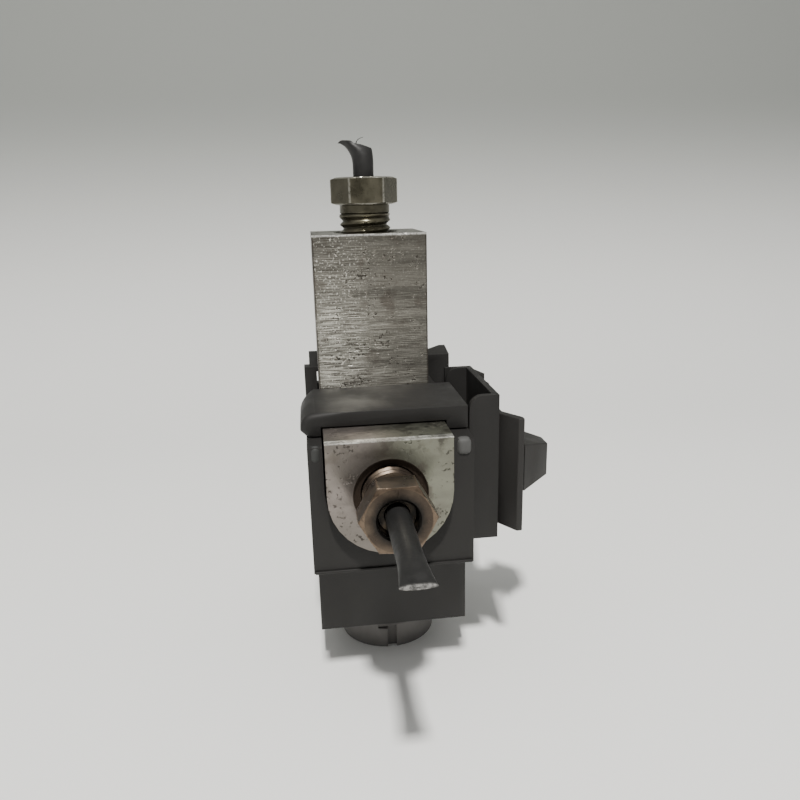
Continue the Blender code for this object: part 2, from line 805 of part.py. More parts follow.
def make_mount_clip():
    pad_right = pad_left + WING_THICKNESS
    half_pad = PAD_SPAN / 2
    half_span = WING_SPAN / 2
    thick = WING_THICKNESS
    wings = [
        (pad_left, -half_pad),
        (wing_tip - thick, -half_span),
        (wing_tip, -half_span),
        (wing_tip, -half_span + thick),
        (pad_right, -half_pad + thick),
        (pad_right, half_pad - thick),
        (wing_tip, half_span - thick),
        (wing_tip, half_span),
        (wing_tip - thick, half_span),
        (pad_left, half_pad),
    ]
    wing_z = clip_z + WING_RISE
    low, high = wing_z - WING_HEIGHT / 2, wing_z + WING_HEIGHT / 2
    clip = add(
        "mount_clip",
        prism([(x, clip_y + y) for x, y in wings], "Z", low, high),
        NYLON,
    )
    half_y, half_z = NECK_SIZE[0] / 2, NECK_SIZE[1] / 2
    head_right = pocket_right - POCKET_WALL - SEAT
    head_left = head_right - HEAD_THICKNESS
    join(
        clip,
        "neck",
        block(
            (head_left + CUT / 2, clip_y - half_y, clip_z - half_z),
            (barb_base + CUT, clip_y + half_y, clip_z + half_z),
        ),
    )
    join(
        clip,
        "head",
        block(
            (head_left, clip_y - half_y - HEAD_STEP, clip_z - half_z - HEAD_STEP),
            (head_right, clip_y + half_y + HEAD_STEP, clip_z + half_z + HEAD_STEP),
        ),
    )
    corners = []
    for x, (size_y, size_z) in ((barb_base, BARB_BASE), (barb_tip, BARB_TIP)):
        for side_y in (-1, 1):
            for side_z in (-1, 1):
                corners.append((x, clip_y + side_y * size_y / 2, clip_z + side_z * size_z / 2))
    join(clip, "barb", hull(corners))


make_mount_clip()


# ---- Coil housing: a square plastic box on a round plug socket


def make_coil_housing():
    housing = add(
        "coil_housing",
        block((box_left, box_front, SOCKET_HEIGHT), (box_right, box_back, box_top)),
        NYLON,
    )
    socket_centre = (COIL_BOX_SHIFT, 0, 0)
    join(
        housing, "collar", cylinder(SOCKET_RADIUS, 0, SOCKET_HEIGHT + CUT / 2, FINE_SEGMENTS), socket_centre
    )
    leg_length, leg_height = KEYWAY_LEG
    half_key = KEYWAY_WIDTH / 2
    keyway = [
        (half_key, -CUT),
        (half_key, KEYWAY_HEIGHT),
        (-half_key - leg_length, KEYWAY_HEIGHT),
        (-half_key - leg_length, KEYWAY_HEIGHT - leg_height),
        (-half_key, KEYWAY_HEIGHT - leg_height),
        (-half_key, -CUT),
    ]
    for number in range(KEYWAYS):
        cut(
            housing,
            f"keyway_{number + 1}",
            prism(keyway, "Y", -SOCKET_RADIUS - CUT, -SOCKET_RADIUS + KEYWAY_DEPTH),
            socket_centre,
            (0, 0, 2 * math.pi * number / KEYWAYS),
        )
    cut(
        housing,
        "socket",
        cylinder(SOCKET_RADIUS - SOCKET_WALL, -CUT, SOCKET_HEIGHT - SOCKET_ROOF, FINE_SEGMENTS),
        socket_centre,
    )
    cavity = cut(
        housing,
        "cavity",
        block(
            (box_left + COIL_WALL, box_front + COIL_WALL, cavity_floor),
            (box_right - COIL_WALL, box_back - COIL_WALL, box_top + CUT),
        ),
    )
    for number, (x, y) in enumerate(screw_places, 1):
        place = (x, y, 0)
        boss = cylinder(BOSS_RADIUS, cavity_floor - CUT, box_top + 2 * CUT, MIDDLE_SEGMENTS)
        cut(cavity, f"boss_{number}", boss, place)
        pilot = cylinder(SCREW_RADIUS + SLIP, box_top - SCREW_LENGTH, box_top + CUT, SMALL_SEGMENTS)
        cut(housing, f"pilot_{number}", pilot, place)
    blade_low = cavity_floor - BLADE_THICKNESS - SEAT
    half_groove = BLADE_WIDTH / 2 + SLIP
    for name, y in pin_places:
        cut(
            housing,
            f"{name}_hole",
            cylinder(PIN_RADIUS + SLIP, 0, cavity_floor + CUT, SMALL_SEGMENTS),
            (COIL_BOX_SHIFT, y, 0),
        )
        cut(
            housing,
            f"{name}_groove",
            block(
                (COIL_BOX_SHIFT - half_groove, y - half_groove, blade_low - SEAT),
                (tab_right + SLIP, y + half_groove, cavity_floor + CUT),
            ),
        )
    cut(
        housing,
        "vent",
        cylinder(VENT_PLUG_RADIUS + SEAT, -COIL_WALL - CUT, CUT, MIDDLE_SEGMENTS),
        (COIL_BOX_SHIFT, box_back, vent_z),
        BACKWARD,
    )


pin_places = [("pin_front", -PIN_Y), ("pin_rear", PIN_Y)]
tab_right = box_right - COIL_WALL - SEAT
make_coil_housing()


# ---- Terminals: a round pin, a blade under the coil and a tab for the winding's lead


def make_terminals():
    blade_low = cavity_floor - BLADE_THICKNESS - SEAT
    blade_high = cavity_floor - SEAT
    half_blade = BLADE_WIDTH / 2
    for name, y in pin_places:
        pin = add(
            name,
            cylinder(PIN_RADIUS, PIN_TIP, blade_high - BLADE_THICKNESS / 2, SMALL_SEGMENTS),
            BRASS,
            (COIL_BOX_SHIFT, y, 0),
        )
        join(
            pin,
            "blade",
            block(
                (COIL_BOX_SHIFT - half_blade, y - half_blade, blade_low),
                (tab_right, y + half_blade, blade_high),
            ),
        )
        join(
            pin,
            "tab",
            block(
                (tab_right - BLADE_THICKNESS, y - half_blade, blade_high - BLADE_THICKNESS / 2),
                (tab_right, y + half_blade, blade_high + TAB_HEIGHT),
            ),
        )
    half_length = PIN_Y - half_blade - SEAT
    add(
        "suppressor_resistor",
        cylinder(RESISTOR_RADIUS, -half_length, half_length, SMALL_SEGMENTS),
        RESISTOR,
        (tab_right - BLADE_THICKNESS - SEAT, 0, blade_high + TAB_HEIGHT - RESISTOR_DROP),
        BACKWARD,
    )


make_terminals()


# ---- Vent plug: a sintered disc in the housing's rear wall


def make_vent_plug():
    add(
        "vent_plug",
        turned(
            [
                (0, -COIL_WALL),
                (VENT_PLUG_RADIUS, -COIL_WALL),
                (VENT_PLUG_RADIUS, SEAT),
                (VENT_CAP_RADIUS, SEAT),
                (VENT_CAP_RADIUS, SEAT + VENT_CAP),
                (0, SEAT + VENT_CAP),
            ],
            MIDDLE_SEGMENTS,
        ),
        BRASS,
        (COIL_BOX_SHIFT, box_back, vent_z),
        BACKWARD,
    )


make_vent_plug()


# ---- Magnet: yoke, washer, bobbin, winding, tube and fixed core


def make_magnet():
    yoke_side = BOBBIN_RADIUS + SEAT
    yoke_outer = yoke_side + YOKE_THICKNESS
    half_width = YOKE_WIDTH / 2
    outline = [
        (-yoke_outer, yoke_bottom),
        (yoke_outer, yoke_bottom),
        (yoke_outer, box_top - SEAT),
        (yoke_side, box_top - SEAT),
        (yoke_side, yoke_bottom + YOKE_THICKNESS),
        (-yoke_side, yoke_bottom + YOKE_THICKNESS),
        (-yoke_side, box_top - SEAT),
        (-yoke_outer, box_top - SEAT),
    ]
    yoke = add("flux_yoke", prism(outline, "Y", -half_width, half_width), STEEL)
    cut(
        yoke,
        "stud_hole",
        cylinder(CORE_STUD_RADIUS + SLIP, yoke_bottom - CUT, bobbin_bottom + CUT, MIDDLE_SEGMENTS),
    )
    washer = add(
        "flux_washer",
        block(
            (-yoke_side + SEAT, -half_width, washer_bottom),
            (yoke_side - SEAT, half_width, box_top - SEAT),
        ),
        STEEL,
    )
    cut(washer, "bore", cylinder(chamber_radius, washer_bottom - CUT, box_top + CUT))
    spool = chamber_radius + BOBBIN_WALL
    add(
        "coil_bobbin",
        turned(
            [
                (chamber_radius, bobbin_bottom),
                (BOBBIN_RADIUS, bobbin_bottom),
                (BOBBIN_RADIUS, bobbin_bottom + BOBBIN_FLANGE),
                (spool, bobbin_bottom + BOBBIN_FLANGE),
                (spool, bobbin_top - BOBBIN_FLANGE),
                (BOBBIN_RADIUS, bobbin_top - BOBBIN_FLANGE),
                (BOBBIN_RADIUS, bobbin_top),
                (chamber_radius, bobbin_top),
            ]
        ),
        BOBBIN_PLASTIC,
    )
    add(
        "coil_winding",
        pipe(
            spool + WINDING_CLEARANCE / 2,
            BOBBIN_RADIUS - WINDING_CLEARANCE,
            bobbin_bottom + BOBBIN_FLANGE + WINDING_CLEARANCE,
            bobbin_top - BOBBIN_FLANGE - WINDING_CLEARANCE,
        ),
        COPPER,
    )
    add(
        "armature_tube",
        turned(
            [
                (bore_radius, core_bottom),
                (TUBE_RADIUS, core_bottom),
                (TUBE_RADIUS, flange_top - TUBE_FLANGE),
                (flange_radius, flange_top - TUBE_FLANGE),
                (flange_radius, flange_top),
                (TUBE_RADIUS, flange_top),
                (TUBE_RADIUS, tube_top),
                (bore_radius, tube_top),
            ]
        ),
        STAINLESS,
    )
    add(
        "fixed_core",
        turned(
            [
                (VENT_RADIUS, yoke_bottom),
                (CORE_STUD_RADIUS, yoke_bottom),
                (CORE_STUD_RADIUS, core_bottom),
                (plunger_radius, core_bottom),
                (plunger_radius, core_top),
                (NOZZLE_RADIUS, core_top),
                (NOZZLE_RADIUS, core_top + NOZZLE_RISE),
                (VENT_RADIUS, core_top + NOZZLE_RISE),
            ]
        ),
        STEEL,
    )


make_magnet()


# ---- Plunger, its two seals and its spring


def make_plunger():
    pocket = SEAL_RADIUS + SLIP / 2
    depth = SEAL_THICKNESS + SLIP
    plunger = add(
        "plunger",
        turned(
            [
                (0, plunger_bottom + depth),
                (pocket, plunger_bottom + depth),
                (pocket, plunger_bottom),
                (plunger_neck, plunger_bottom),
                (plunger_neck, plunger_shoulder),
                (plunger_radius, plunger_shoulder),
                (plunger_radius, plunger_top),
                (pocket, plunger_top),
                (pocket, plunger_top - depth),
                (0, plunger_top - depth),
            ]
        ),
        STAINLESS,
    )
    groove_depth, groove_width = PLUNGER_GROOVE
    groove = plunger_radius - groove_depth
    for side in (-1, 1):
        outer = side * (plunger_radius + CUT)
        cut(
            plunger,
            f"groove_{'left' if side < 0 else 'right'}",
            block(
                (min(side * groove, outer), -groove_width / 2, plunger_shoulder - CUT),
                (max(side * groove, outer), groove_width / 2, plunger_top + CUT),
            ),
        )
    for name, low in (
        ("exhaust_seal", plunger_bottom),
        ("supply_seal", plunger_top - SEAL_THICKNESS),
    ):
        add(name, cylinder(SEAL_RADIUS, low, low + SEAL_THICKNESS, MIDDLE_SEGMENTS), RUBBER)


make_plunger()


def make_spring():
    """A helix with a flat turn at each end, standing on the core and under the plunger's shoulder."""
    middle = (plunger_neck + bore_radius) / 2
    low = core_top + SPRING_WIRE + SLIP / 2
    high = plunger_shoulder - SPRING_WIRE - SLIP / 2
    per_turn = 14
    flat_rise = 2.2 * SPRING_WIRE  # a closed turn lies just clear of the next one
    turns = SPRING_TURNS + 2
    curve = bpy.data.curves.new("plunger_spring", "CURVE")
    curve.dimensions = "3D"
    curve.bevel_depth = SPRING_WIRE
    curve.bevel_resolution = 1
    curve.use_fill_caps = True
    line = curve.splines.new("POLY")
    line.points.add(turns * per_turn)
    for i in range(turns * per_turn + 1):
        turn = i / per_turn
        active = (turn - 1) / SPRING_TURNS
        rise = flat_rise * turn if turn < 1 else flat_rise + (high - low - 2 * flat_rise) * active
        if turn > turns - 1:
            rise = high - low - flat_rise * (turns - turn)
        angle = 2 * math.pi * turn
        line.points[i].co = (middle * math.cos(angle), middle * math.sin(angle), low + rise, 1)
    spring = bpy.data.objects.new("plunger_spring", curve)
    bpy.context.scene.collection.objects.link(spring)
    spring.parent = part_origin
    curve.materials.append(STAINLESS)


make_spring()


# ---- Housing screws


def make_screws():
    seat = frame_bottom + SCREW_SINK + SEAT
    for number, (x, y) in enumerate(screw_places, 1):
        add(
            f"housing_screw_{number}",
            turned(
                [
                    (0, box_top - SCREW_LENGTH + CUT),
                    (SCREW_RADIUS, box_top - SCREW_LENGTH + 2 * CUT),
                    (SCREW_RADIUS, seat),
                    (SCREW_HEAD_RADIUS, seat),
                    (SCREW_HEAD_RADIUS, seat + SCREW_HEAD_EDGE),
                    (SCREW_HEAD_TOP_RADIUS, seat + SCREW_HEAD),
                    (SCREW_SOCKET_RADIUS, seat + SCREW_HEAD),
                    (SCREW_SOCKET_RADIUS, seat + SCREW_HEAD - SCREW_SOCKET_DEPTH),
                    (0, seat + SCREW_HEAD - SCREW_SOCKET_DEPTH),
                ],
                SMALL_SEGMENTS,
            ),
            STAINLESS,
            (x, y, 0),
        )


make_screws()


# ---- Tube fittings: the same screwed fitting in both ports


def line_stub(stations):
    """A plastic line through stations of (centre, half width along X, half height along Y), with its bore."""
    shape = bmesh.new()
    sides = SMALL_SEGMENTS
    walls = []
    for share in (1.0, line_inner / LINE_RADIUS):
        rings = []
        for (x, y, z), half_x, half_y in stations:
            ring = []
            for i in range(sides):
                angle = 2 * math.pi * i / sides
                ring.append(
                    shape.verts.new(
                        (x + share * half_x * math.cos(angle), y + share * half_y * math.sin(angle), z)
                    )
                )
            rings.append(ring)
        walls.append(rings)
    outer, inner = walls
    loop = [*outer, *reversed(inner)]
    for first, second in zip(loop, [*loop[1:], loop[0]]):
        for i in range(sides):
            j = (i + 1) % sides
            shape.faces.new([first[i], first[j], second[j], second[i]])
    return shape


def make_fitting(port, place, turn, stations):
    tip = -THREAD_ENGAGED
    mouth = hex_end - MOUTH_DEPTH
    fitting = add(
        f"{port}_fitting",
        turned(
            [
                (LINE_RADIUS + SLIP, tip),
                (THREAD_RADIUS, tip),
                (THREAD_RADIUS, THREAD_SHOWN),
                (NECK_RADIUS, THREAD_SHOWN),
                (NECK_RADIUS, hex_start + HEX_LENGTH / 2),
                (MOUTH_RADIUS, hex_start + HEX_LENGTH / 2),
                (MOUTH_RADIUS, mouth),
                (LINE_RADIUS + SLIP, mouth),
            ]
        ),
        PLATED,
        place,
        turn,
    )
    corner = HEX_ACROSS_FLATS / math.sqrt(3)
    hexagon = [(corner * math.cos(a), corner * math.sin(a)) for a in [math.pi / 3 * i for i in range(6)]]
    join(fitting, "hexagon", prism(hexagon, "Z", hex_start, hex_end), place, turn)
    cut(fitting, "mouth", cylinder(MOUTH_RADIUS, mouth + CUT, hex_end + CUT), place, turn)
    add(
        f"{port}_collet",
        turned(
            [
                (LINE_RADIUS + SLIP / 2, COLLET_FROM),
                (MOUTH_RADIUS - SLIP, COLLET_FROM + COLLET_TAPER),
                (MOUTH_RADIUS - SLIP, COLLET_FROM + COLLET_LENGTH),
                (LINE_RADIUS + SLIP / 2, COLLET_FROM + COLLET_LENGTH),
            ],
            MIDDLE_SEGMENTS,
        ),
        BRASS,
        place,
        turn,
    )
    gland_radius = (LINE_RADIUS + MOUTH_RADIUS) / 2
    add(
        f"{port}_line_seal",
        ring_of(gland_radius, GLAND_RING, mouth + GLAND_RING + SLIP, MIDDLE_SEGMENTS, 8),
        RUBBER,
        place,
        turn,
    )
    add(
        f"{port}_line_sleeve",
        pipe(
            line_inner - SLIP / 2 - SLEEVE_WALL,
            line_inner - SLIP / 2,
            SLIP - LINE_INSIDE,
            hex_start,
            SMALL_SEGMENTS,
        ),
        BRASS,
        place,
        turn,
    )
    ring_radius = (LINE_RADIUS + THREAD_RADIUS) / 2
    add(
        f"{port}_port_seal",
        ring_of(ring_radius, O_RING_WIRE, -THREAD_ENGAGED - O_RING_WIRE - SLIP, MIDDLE_SEGMENTS, 8),
        RUBBER,
        place,
        turn,
    )
    add(f"{port}_line", line_stub(stations), LINE_PLASTIC, place, turn)


def stub_stations(length, taper, pinch, lean):
    """Stations from inside the port to the cut end: round, then squeezed flat and leaning to -X."""
    end = hex_end + length
    start = end - taper
    stations = [((0, 0, -LINE_INSIDE), LINE_RADIUS, LINE_RADIUS), ((0, 0, start), LINE_RADIUS, LINE_RADIUS)]
    steps = 5
    for i in range(1, steps + 1):
        share = i / steps
        ease = share * share * (3 - 2 * share)
        half_x, half_y = (LINE_RADIUS + (size / 2 - LINE_RADIUS) * ease for size in pinch)
        stations.append(((-lean * share * share, 0, start + taper * share), half_x, half_y))
    return stations


make_fitting("inlet", inlet_face, FORWARD, stub_stations(INLET_STUB, INLET_TAPER, INLET_PINCH, 0))
make_fitting(
    "outlet",
    outlet_face,
    (0, 0, 0),
    stub_stations(OUTLET_STUB, OUTLET_TAPER, OUTLET_PINCH, OUTLET_LEAN),
)
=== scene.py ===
"""Looks of a solenoid valve from an air system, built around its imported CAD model.

An aluminium valve body sits in a black plastic bracket over a square coil housing. A screwed fitting
at its front and another on its top each hold a cut piece of black air line. Lengths are in metres.
"""

import math

import bmesh
import bpy
from mathutils import Matrix, Vector, noise


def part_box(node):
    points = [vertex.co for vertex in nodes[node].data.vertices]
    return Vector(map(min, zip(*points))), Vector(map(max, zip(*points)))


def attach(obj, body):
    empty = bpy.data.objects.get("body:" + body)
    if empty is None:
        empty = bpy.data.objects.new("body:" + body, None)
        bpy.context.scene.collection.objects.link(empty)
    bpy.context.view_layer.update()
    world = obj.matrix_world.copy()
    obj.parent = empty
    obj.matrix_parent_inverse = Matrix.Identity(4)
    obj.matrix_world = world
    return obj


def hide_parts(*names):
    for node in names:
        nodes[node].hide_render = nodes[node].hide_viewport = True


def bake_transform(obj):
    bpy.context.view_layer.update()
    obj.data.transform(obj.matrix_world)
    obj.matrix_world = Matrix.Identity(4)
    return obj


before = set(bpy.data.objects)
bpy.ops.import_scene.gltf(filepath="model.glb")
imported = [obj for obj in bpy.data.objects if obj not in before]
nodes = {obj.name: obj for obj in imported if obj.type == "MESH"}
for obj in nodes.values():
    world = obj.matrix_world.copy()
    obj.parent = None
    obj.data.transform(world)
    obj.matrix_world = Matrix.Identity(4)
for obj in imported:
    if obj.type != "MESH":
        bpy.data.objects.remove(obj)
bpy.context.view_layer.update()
scene = bpy.context.scene
MM = 0.001


# ---- Camera
# The eye stands about 160 mm in front of the valve, level with its column, and looks a little down
# and to the right.

view = Vector((0.119, 0.955, -0.273)).normalized()
level = view.cross(Vector((0, 0, 1))).normalized()
upright = level.cross(view)
roll = math.radians(-1.32)
camera_right = level * math.cos(roll) + upright * math.sin(roll)
camera_up = upright * math.cos(roll) - level * math.sin(roll)
eye = Vector((-0.02134, -0.12072, 0.09399))
lens = bpy.data.cameras.new("camera")
lens.lens = 32.185
lens.sensor_width = 36
lens.clip_start = 0.01
camera = bpy.data.objects.new("camera", lens)
turned_to = Matrix((camera_right, camera_up, -view)).transposed().to_4x4()
camera.matrix_world = Matrix.Translation(eye) @ turned_to
scene.collection.objects.link(camera)
scene.camera = camera


# ---- Paper sweep and light
# A sheet of off-white paper lies under the valve and curves up into the wall behind it. One soft
# lamp, above and in front, throws the shadow back, and the room around fills in the rest.


def put(tree, socket, value):
    """Sets a node's input, or links it if the value is another node's output."""
    if isinstance(value, bpy.types.NodeSocket):
        tree.links.new(value, socket)
    else:
        socket.default_value = value


def add_node(tree, kind, settings=None, **inputs):
    """Adds a node. In an input's name, _ stands for a space."""
    made = tree.nodes.new(kind)
    for name, value in (settings or {}).items():
        setattr(made, name, value)
    for name, value in inputs.items():
        put(tree, made.inputs[name.replace("_", " ")], value)
    return made


def maths(tree, operation, *values):
    made = tree.nodes.new("ShaderNodeMath")
    made.operation = operation
    for socket, value in zip(made.inputs, values):
        put(tree, socket, value)
    return made.outputs[0]


def times(tree, first, second):
    return maths(tree, "MULTIPLY", first, second)


def apart(tree, first, second):
    """How far apart two values are."""
    return maths(tree, "ABSOLUTE", maths(tree, "SUBTRACT", first, second))


def coordinates(tree, vector):
    """The X, Y and Z of a vector."""
    return add_node(tree, "ShaderNodeSeparateXYZ", Vector=vector).outputs


def blend_colours(tree, share, first, second):
    made = tree.nodes.new("ShaderNodeMix")
    made.data_type = "RGBA"
    put(tree, made.inputs[0], share)
    put(tree, made.inputs[6], first if not isinstance(first, tuple) else (*first, 1))
    put(tree, made.inputs[7], second if not isinstance(second, tuple) else (*second, 1))
    return made.outputs[2]


def steps_between(tree, value, low, high, first=0.0, second=1.0):
    """Runs smoothly from the first number to the second while the value runs from low to high."""
    settings = {"interpolation_type": "SMOOTHSTEP"}
    sizes = {"From_Min": low, "From_Max": high, "To_Min": first, "To_Max": second}
    return add_node(tree, "ShaderNodeMapRange", settings, Value=value, **sizes).outputs["Result"]


def grain(tree, place, scale, detail=3.0, stretch=(1, 1, 1)):
    """Noise on object coordinates. The scale is in cells per metre, times stretch along each axis."""
    scales = [scale * share for share in stretch]
    scaled = add_node(tree, "ShaderNodeMapping", Vector=place, Scale=scales).outputs[0]
    made = add_node(tree, "ShaderNodeTexNoise", Vector=scaled, Scale=1.0, Detail=detail)
    return made.outputs["Fac"]


def new_finish(name, metallic, roughness):
    """An empty material, its node tree, its shader, and the object coordinates for its pattern."""
    made = bpy.data.materials.new(name)
    made.use_nodes = True
    tree = made.node_tree
    shader = tree.nodes["Principled BSDF"]
    shader.inputs["Metallic"].default_value = metallic
    shader.inputs["Roughness"].default_value = roughness
    place = tree.nodes.new("ShaderNodeTexCoord")
    return made, tree, shader, place.outputs["Object"]


def set_look(tree, shader, colour, roughness=None):
    tree.links.new(colour, shader.inputs["Base Color"])
    if roughness is not None:
        tree.links.new(roughness, shader.inputs["Roughness"])


def raise_surface(tree, shader, height, distance, strength=1.0, after=None):
    """A bump, on top of another one if it is given. The height runs from 0 to 1."""
    sizes = {"Strength": strength, "Distance": distance}
    bump = add_node(tree, "ShaderNodeBump", Height=height, **sizes)
    if after is not None:
        tree.links.new(after.outputs[0], bump.inputs["Normal"])
    tree.links.new(bump.outputs[0], shader.inputs["Normal"])
    return bump


def as_object(name, shape, material=None):
    """Makes an object at the origin, from a bmesh or a mesh."""
    mesh = shape
    if isinstance(shape, bmesh.types.BMesh):
        mesh = bpy.data.meshes.new(name)
        shape.to_mesh(mesh)
        shape.free()
    mesh.name = name
    made = bpy.data.objects.new(name, mesh)
    scene.collection.objects.link(made)
    if material is not None:
        mesh.materials.clear()
        mesh.materials.append(material)
    return made


paper, tree, shader, place = new_finish("off_white_paper", 0.0, 0.85)
mottle = grain(tree, place, 9, 4)
shader.inputs["Specular IOR Level"].default_value = 0.2
height = coordinates(tree, place)["Z"]
colour = blend_colours(tree, mottle, (0.88, 0.88, 0.86), (0.91, 0.91, 0.89))
# The paper turns grey with height up the wall: a painted shade for the lamp's light falling off
# there.
colour = blend_colours(tree, steps_between(tree, height, -0.01, 0.17), colour, (0.28, 0.29, 0.275))
set_look(tree, shader, colour)
raise_surface(tree, shader, grain(tree, place, 1500, 2), 0.0001, 0.15)

SWEEP_RADIUS = 0.30
SWEEP_START = 0.16
SWEEP_STEPS = 16
profile = [(-1.5, 0.0)]
for i in range(SWEEP_STEPS + 1):
    angle = math.pi / 2 * i / SWEEP_STEPS
    y = SWEEP_START + SWEEP_RADIUS * math.sin(angle)
    profile.append((y, SWEEP_RADIUS * (1 - math.cos(angle))))
profile.append((SWEEP_START + SWEEP_RADIUS, 1.6))
shape = bmesh.new()
edges = [[shape.verts.new((x, y, z)) for y, z in profile] for x in (-1.6, 1.6)]
for i in range(len(profile) - 1):
    shape.faces.new((edges[0][i], edges[1][i], edges[1][i + 1], edges[0][i + 1]))
sweep = as_object("paper_sweep", shape, paper)
sweep.data.shade_smooth()

lamp = bpy.data.lights.new("lamp", "AREA")
lamp.size = 0.05
lamp.energy = 10.4
lamp.color = (1.0, 0.985, 0.955)
lamp_holder = bpy.data.objects.new("lamp", lamp)
LAMP_DISTANCE = 0.8
towards_lamp = Vector((-0.07, -0.63, 1)).normalized()
lamp_place = Vector((0, 0, 0.05)) + towards_lamp * LAMP_DISTANCE
lamp_turn = towards_lamp.to_track_quat("Z", "Y").to_matrix().to_4x4()
lamp_holder.matrix_world = Matrix.Translation(lamp_place) @ lamp_turn
scene.collection.objects.link(lamp_holder)

room = bpy.data.worlds.new("room")
room.use_nodes = True
scene.world = room
tree = room.node_tree
way = coordinates(tree, tree.nodes.new("ShaderNodeTexCoord").outputs["Generated"])
overhead = steps_between(tree, way["Z"], -0.1, 0.9)
dim_front = steps_between(tree, way["Y"], -0.98, -0.35, 0.10, 1.0)
sky = blend_colours(tree, overhead, (0.42, 0.42, 0.43), (1.0, 1.0, 0.98))
background = tree.nodes["Background"].inputs
tree.links.new(sky, background["Color"])
tree.links.new(times(tree, dim_front, 0.72), background["Strength"])


# ---- Valve body
# The L-shaped body is sawn from an aluminium extrusion and milled away above its foot. The saw has
# left fine level lines on the column, and years under a vehicle have pitted and stained it.


def mended_copy(node):
    """A copy of a CAD node whose triangles are joined up into whole flat faces again."""
    shape = bmesh.new()
    shape.from_mesh(nodes[node].data)
    bmesh.ops.remove_doubles(shape, verts=shape.verts, dist=0.003 * MM)
    bmesh.ops.dissolve_limit(
        shape, angle_limit=math.radians(0.6), verts=shape.verts, edges=shape.edges
    )
    return shape


def soften(name, shape, material, width, steps=2, sharp=30):
    """Rounds every sharp edge of a shape, and returns it as a plain mesh object."""
    made = as_object(name, shape, material)
    rounding = made.modifiers.new("rounding", "BEVEL")
    rounding.width = width
    rounding.segments = steps
    rounding.limit_method = "ANGLE"
    rounding.angle_limit = math.radians(sharp)
    rounding.use_clamp_overlap = True
    rounding.miter_outer = "MITER_ARC"
    return settle(made, sharp)


def settle(made, sharp=40):
    """Turns an object's modifiers into a plain mesh, with its round parts smooth."""
    evaluated = made.evaluated_get(bpy.context.evaluated_depsgraph_get())
    mesh = bpy.data.meshes.new_from_object(evaluated)
    made.modifiers.clear()
    made.data = mesh
    mesh.name = made.name
    return smooth(made, sharp)


def smooth(made, sharp):
    """Shades a plain mesh smooth, but for its edges above this angle in degrees."""
    made.data.shade_smooth()
    made.data.set_sharp_from_angle(angle=math.radians(sharp))
    return made


milled, tree, shader, place = new_finish("milled_aluminium", 0.92, 0.4)

# Where a point is: on the column or the foot, near an edge, or in the front port's recess.
RECESS_RADIUS = 6.35 * MM
body_low, body_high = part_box("valve_body")
half_width = (body_high.x - body_low.x) / 2
column_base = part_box("retaining_strap")[1].z
foot_high = column_base - 2.8 * MM
port_middle = sum(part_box("inlet_fitting"), Vector()) / 2
here = coordinates(tree, place)
faces = coordinates(tree, tree.nodes.new("ShaderNodeTexCoord").outputs["Normal"])
on_front = steps_between(tree, times(tree, faces["Y"], -1), 0.5, 0.8)
on_left = steps_between(tree, times(tree, faces["X"], -1), 0.5, 0.8)
on_column = steps_between(tree, here["Z"], column_base - 2 * MM, column_base)
off_column = maths(tree, "SUBTRACT", 1.0, on_column)
near_front = steps_between(tree, here["Y"], body_low.y + 1.5 * MM, body_low.y + 1.2 * MM)
to_middle = apart(tree, here["X"], (body_low.x + body_high.x) / 2)
from_port = add_node(
    tree,
    "ShaderNodeCombineXYZ",
    X=maths(tree, "SUBTRACT", here["X"], port_middle.x),
    Z=maths(tree, "SUBTRACT", here["Z"], port_middle.z),
).outputs[0]
length = {"operation": "LENGTH"}
port_distance = add_node(tree, "ShaderNodeVectorMath", length, Vector=from_port).outputs["Value"]

# The marks: level saw lines, grains of metal, pits in clusters and dirt, and painted light: glints on
# the lines and grains, shade along the side edges and in the port's recess, and rim highlights.
saw_lines = grain(tree, place, 1.0, 3, (200, 200, 11000))
broad_lines = grain(tree, place, 1.0, 2, (25, 25, 700))
crystals = grain(tree, place, 2600, 2)
clouds = grain(tree, place, 120, 4)
stain = grain(tree, place, 260, 5)
# Painted glints: near-white specks of metal grain on the column's front, strongest on its left.
grain_glints = steps_between(tree, here["X"], -17 * MM, -7 * MM, 0.9, 0.12)
grain_glints = times(tree, steps_between(tree, crystals, 0.55, 0.72), grain_glints)
grain_glints = times(tree, grain_glints, times(tree, on_column, on_front))
worst = times(tree, steps_between(tree, to_middle, 8 * MM, 2 * MM, 0.0, 0.09), on_column)
foot_worst = steps_between(tree, to_middle, 4 * MM, 9 * MM, 0.0, 0.12)
worst = maths(tree, "ADD", worst, times(tree, foot_worst, off_column))
worst = maths(tree, "ADD", worst, grain(tree, place, 190, 4))
pits = steps_between(tree, grain(tree, place, 1500, 5), 0.58, 0.66)
pits = times(tree, pits, steps_between(tree, worst, 0.52, 0.63))
# Painted glints on the saw lines, near white, strongest low on the column's left where the light
# catches them.
lit_low = steps_between(tree, here["Z"], column_base + 8 * MM, column_base + 24 * MM, 1.0, 0.3)
lit_left = steps_between(tree, here["X"], -18 * MM, -5 * MM, 1.0, 0.3)
saw_line_glints = times(tree, lit_low, lit_left)
saw_line_glints = times(tree, steps_between(tree, saw_lines, 0.47, 0.60), saw_line_glints)
saw_line_glints = times(tree, saw_line_glints, on_column)
spill = steps_between(tree, here["Z"], foot_high - 4 * MM, foot_high - 1 * MM)
spill = times(tree, off_column, spill)
spill = times(tree, spill, steps_between(tree, here["X"], -13 * MM, -4 * MM, 0.3, 1.0))
spill_cloud = grain(tree, place, 420, 5)
spill = times(tree, spill, steps_between(tree, spill_cloud, 0.48, 0.62, 0.0, 0.75))
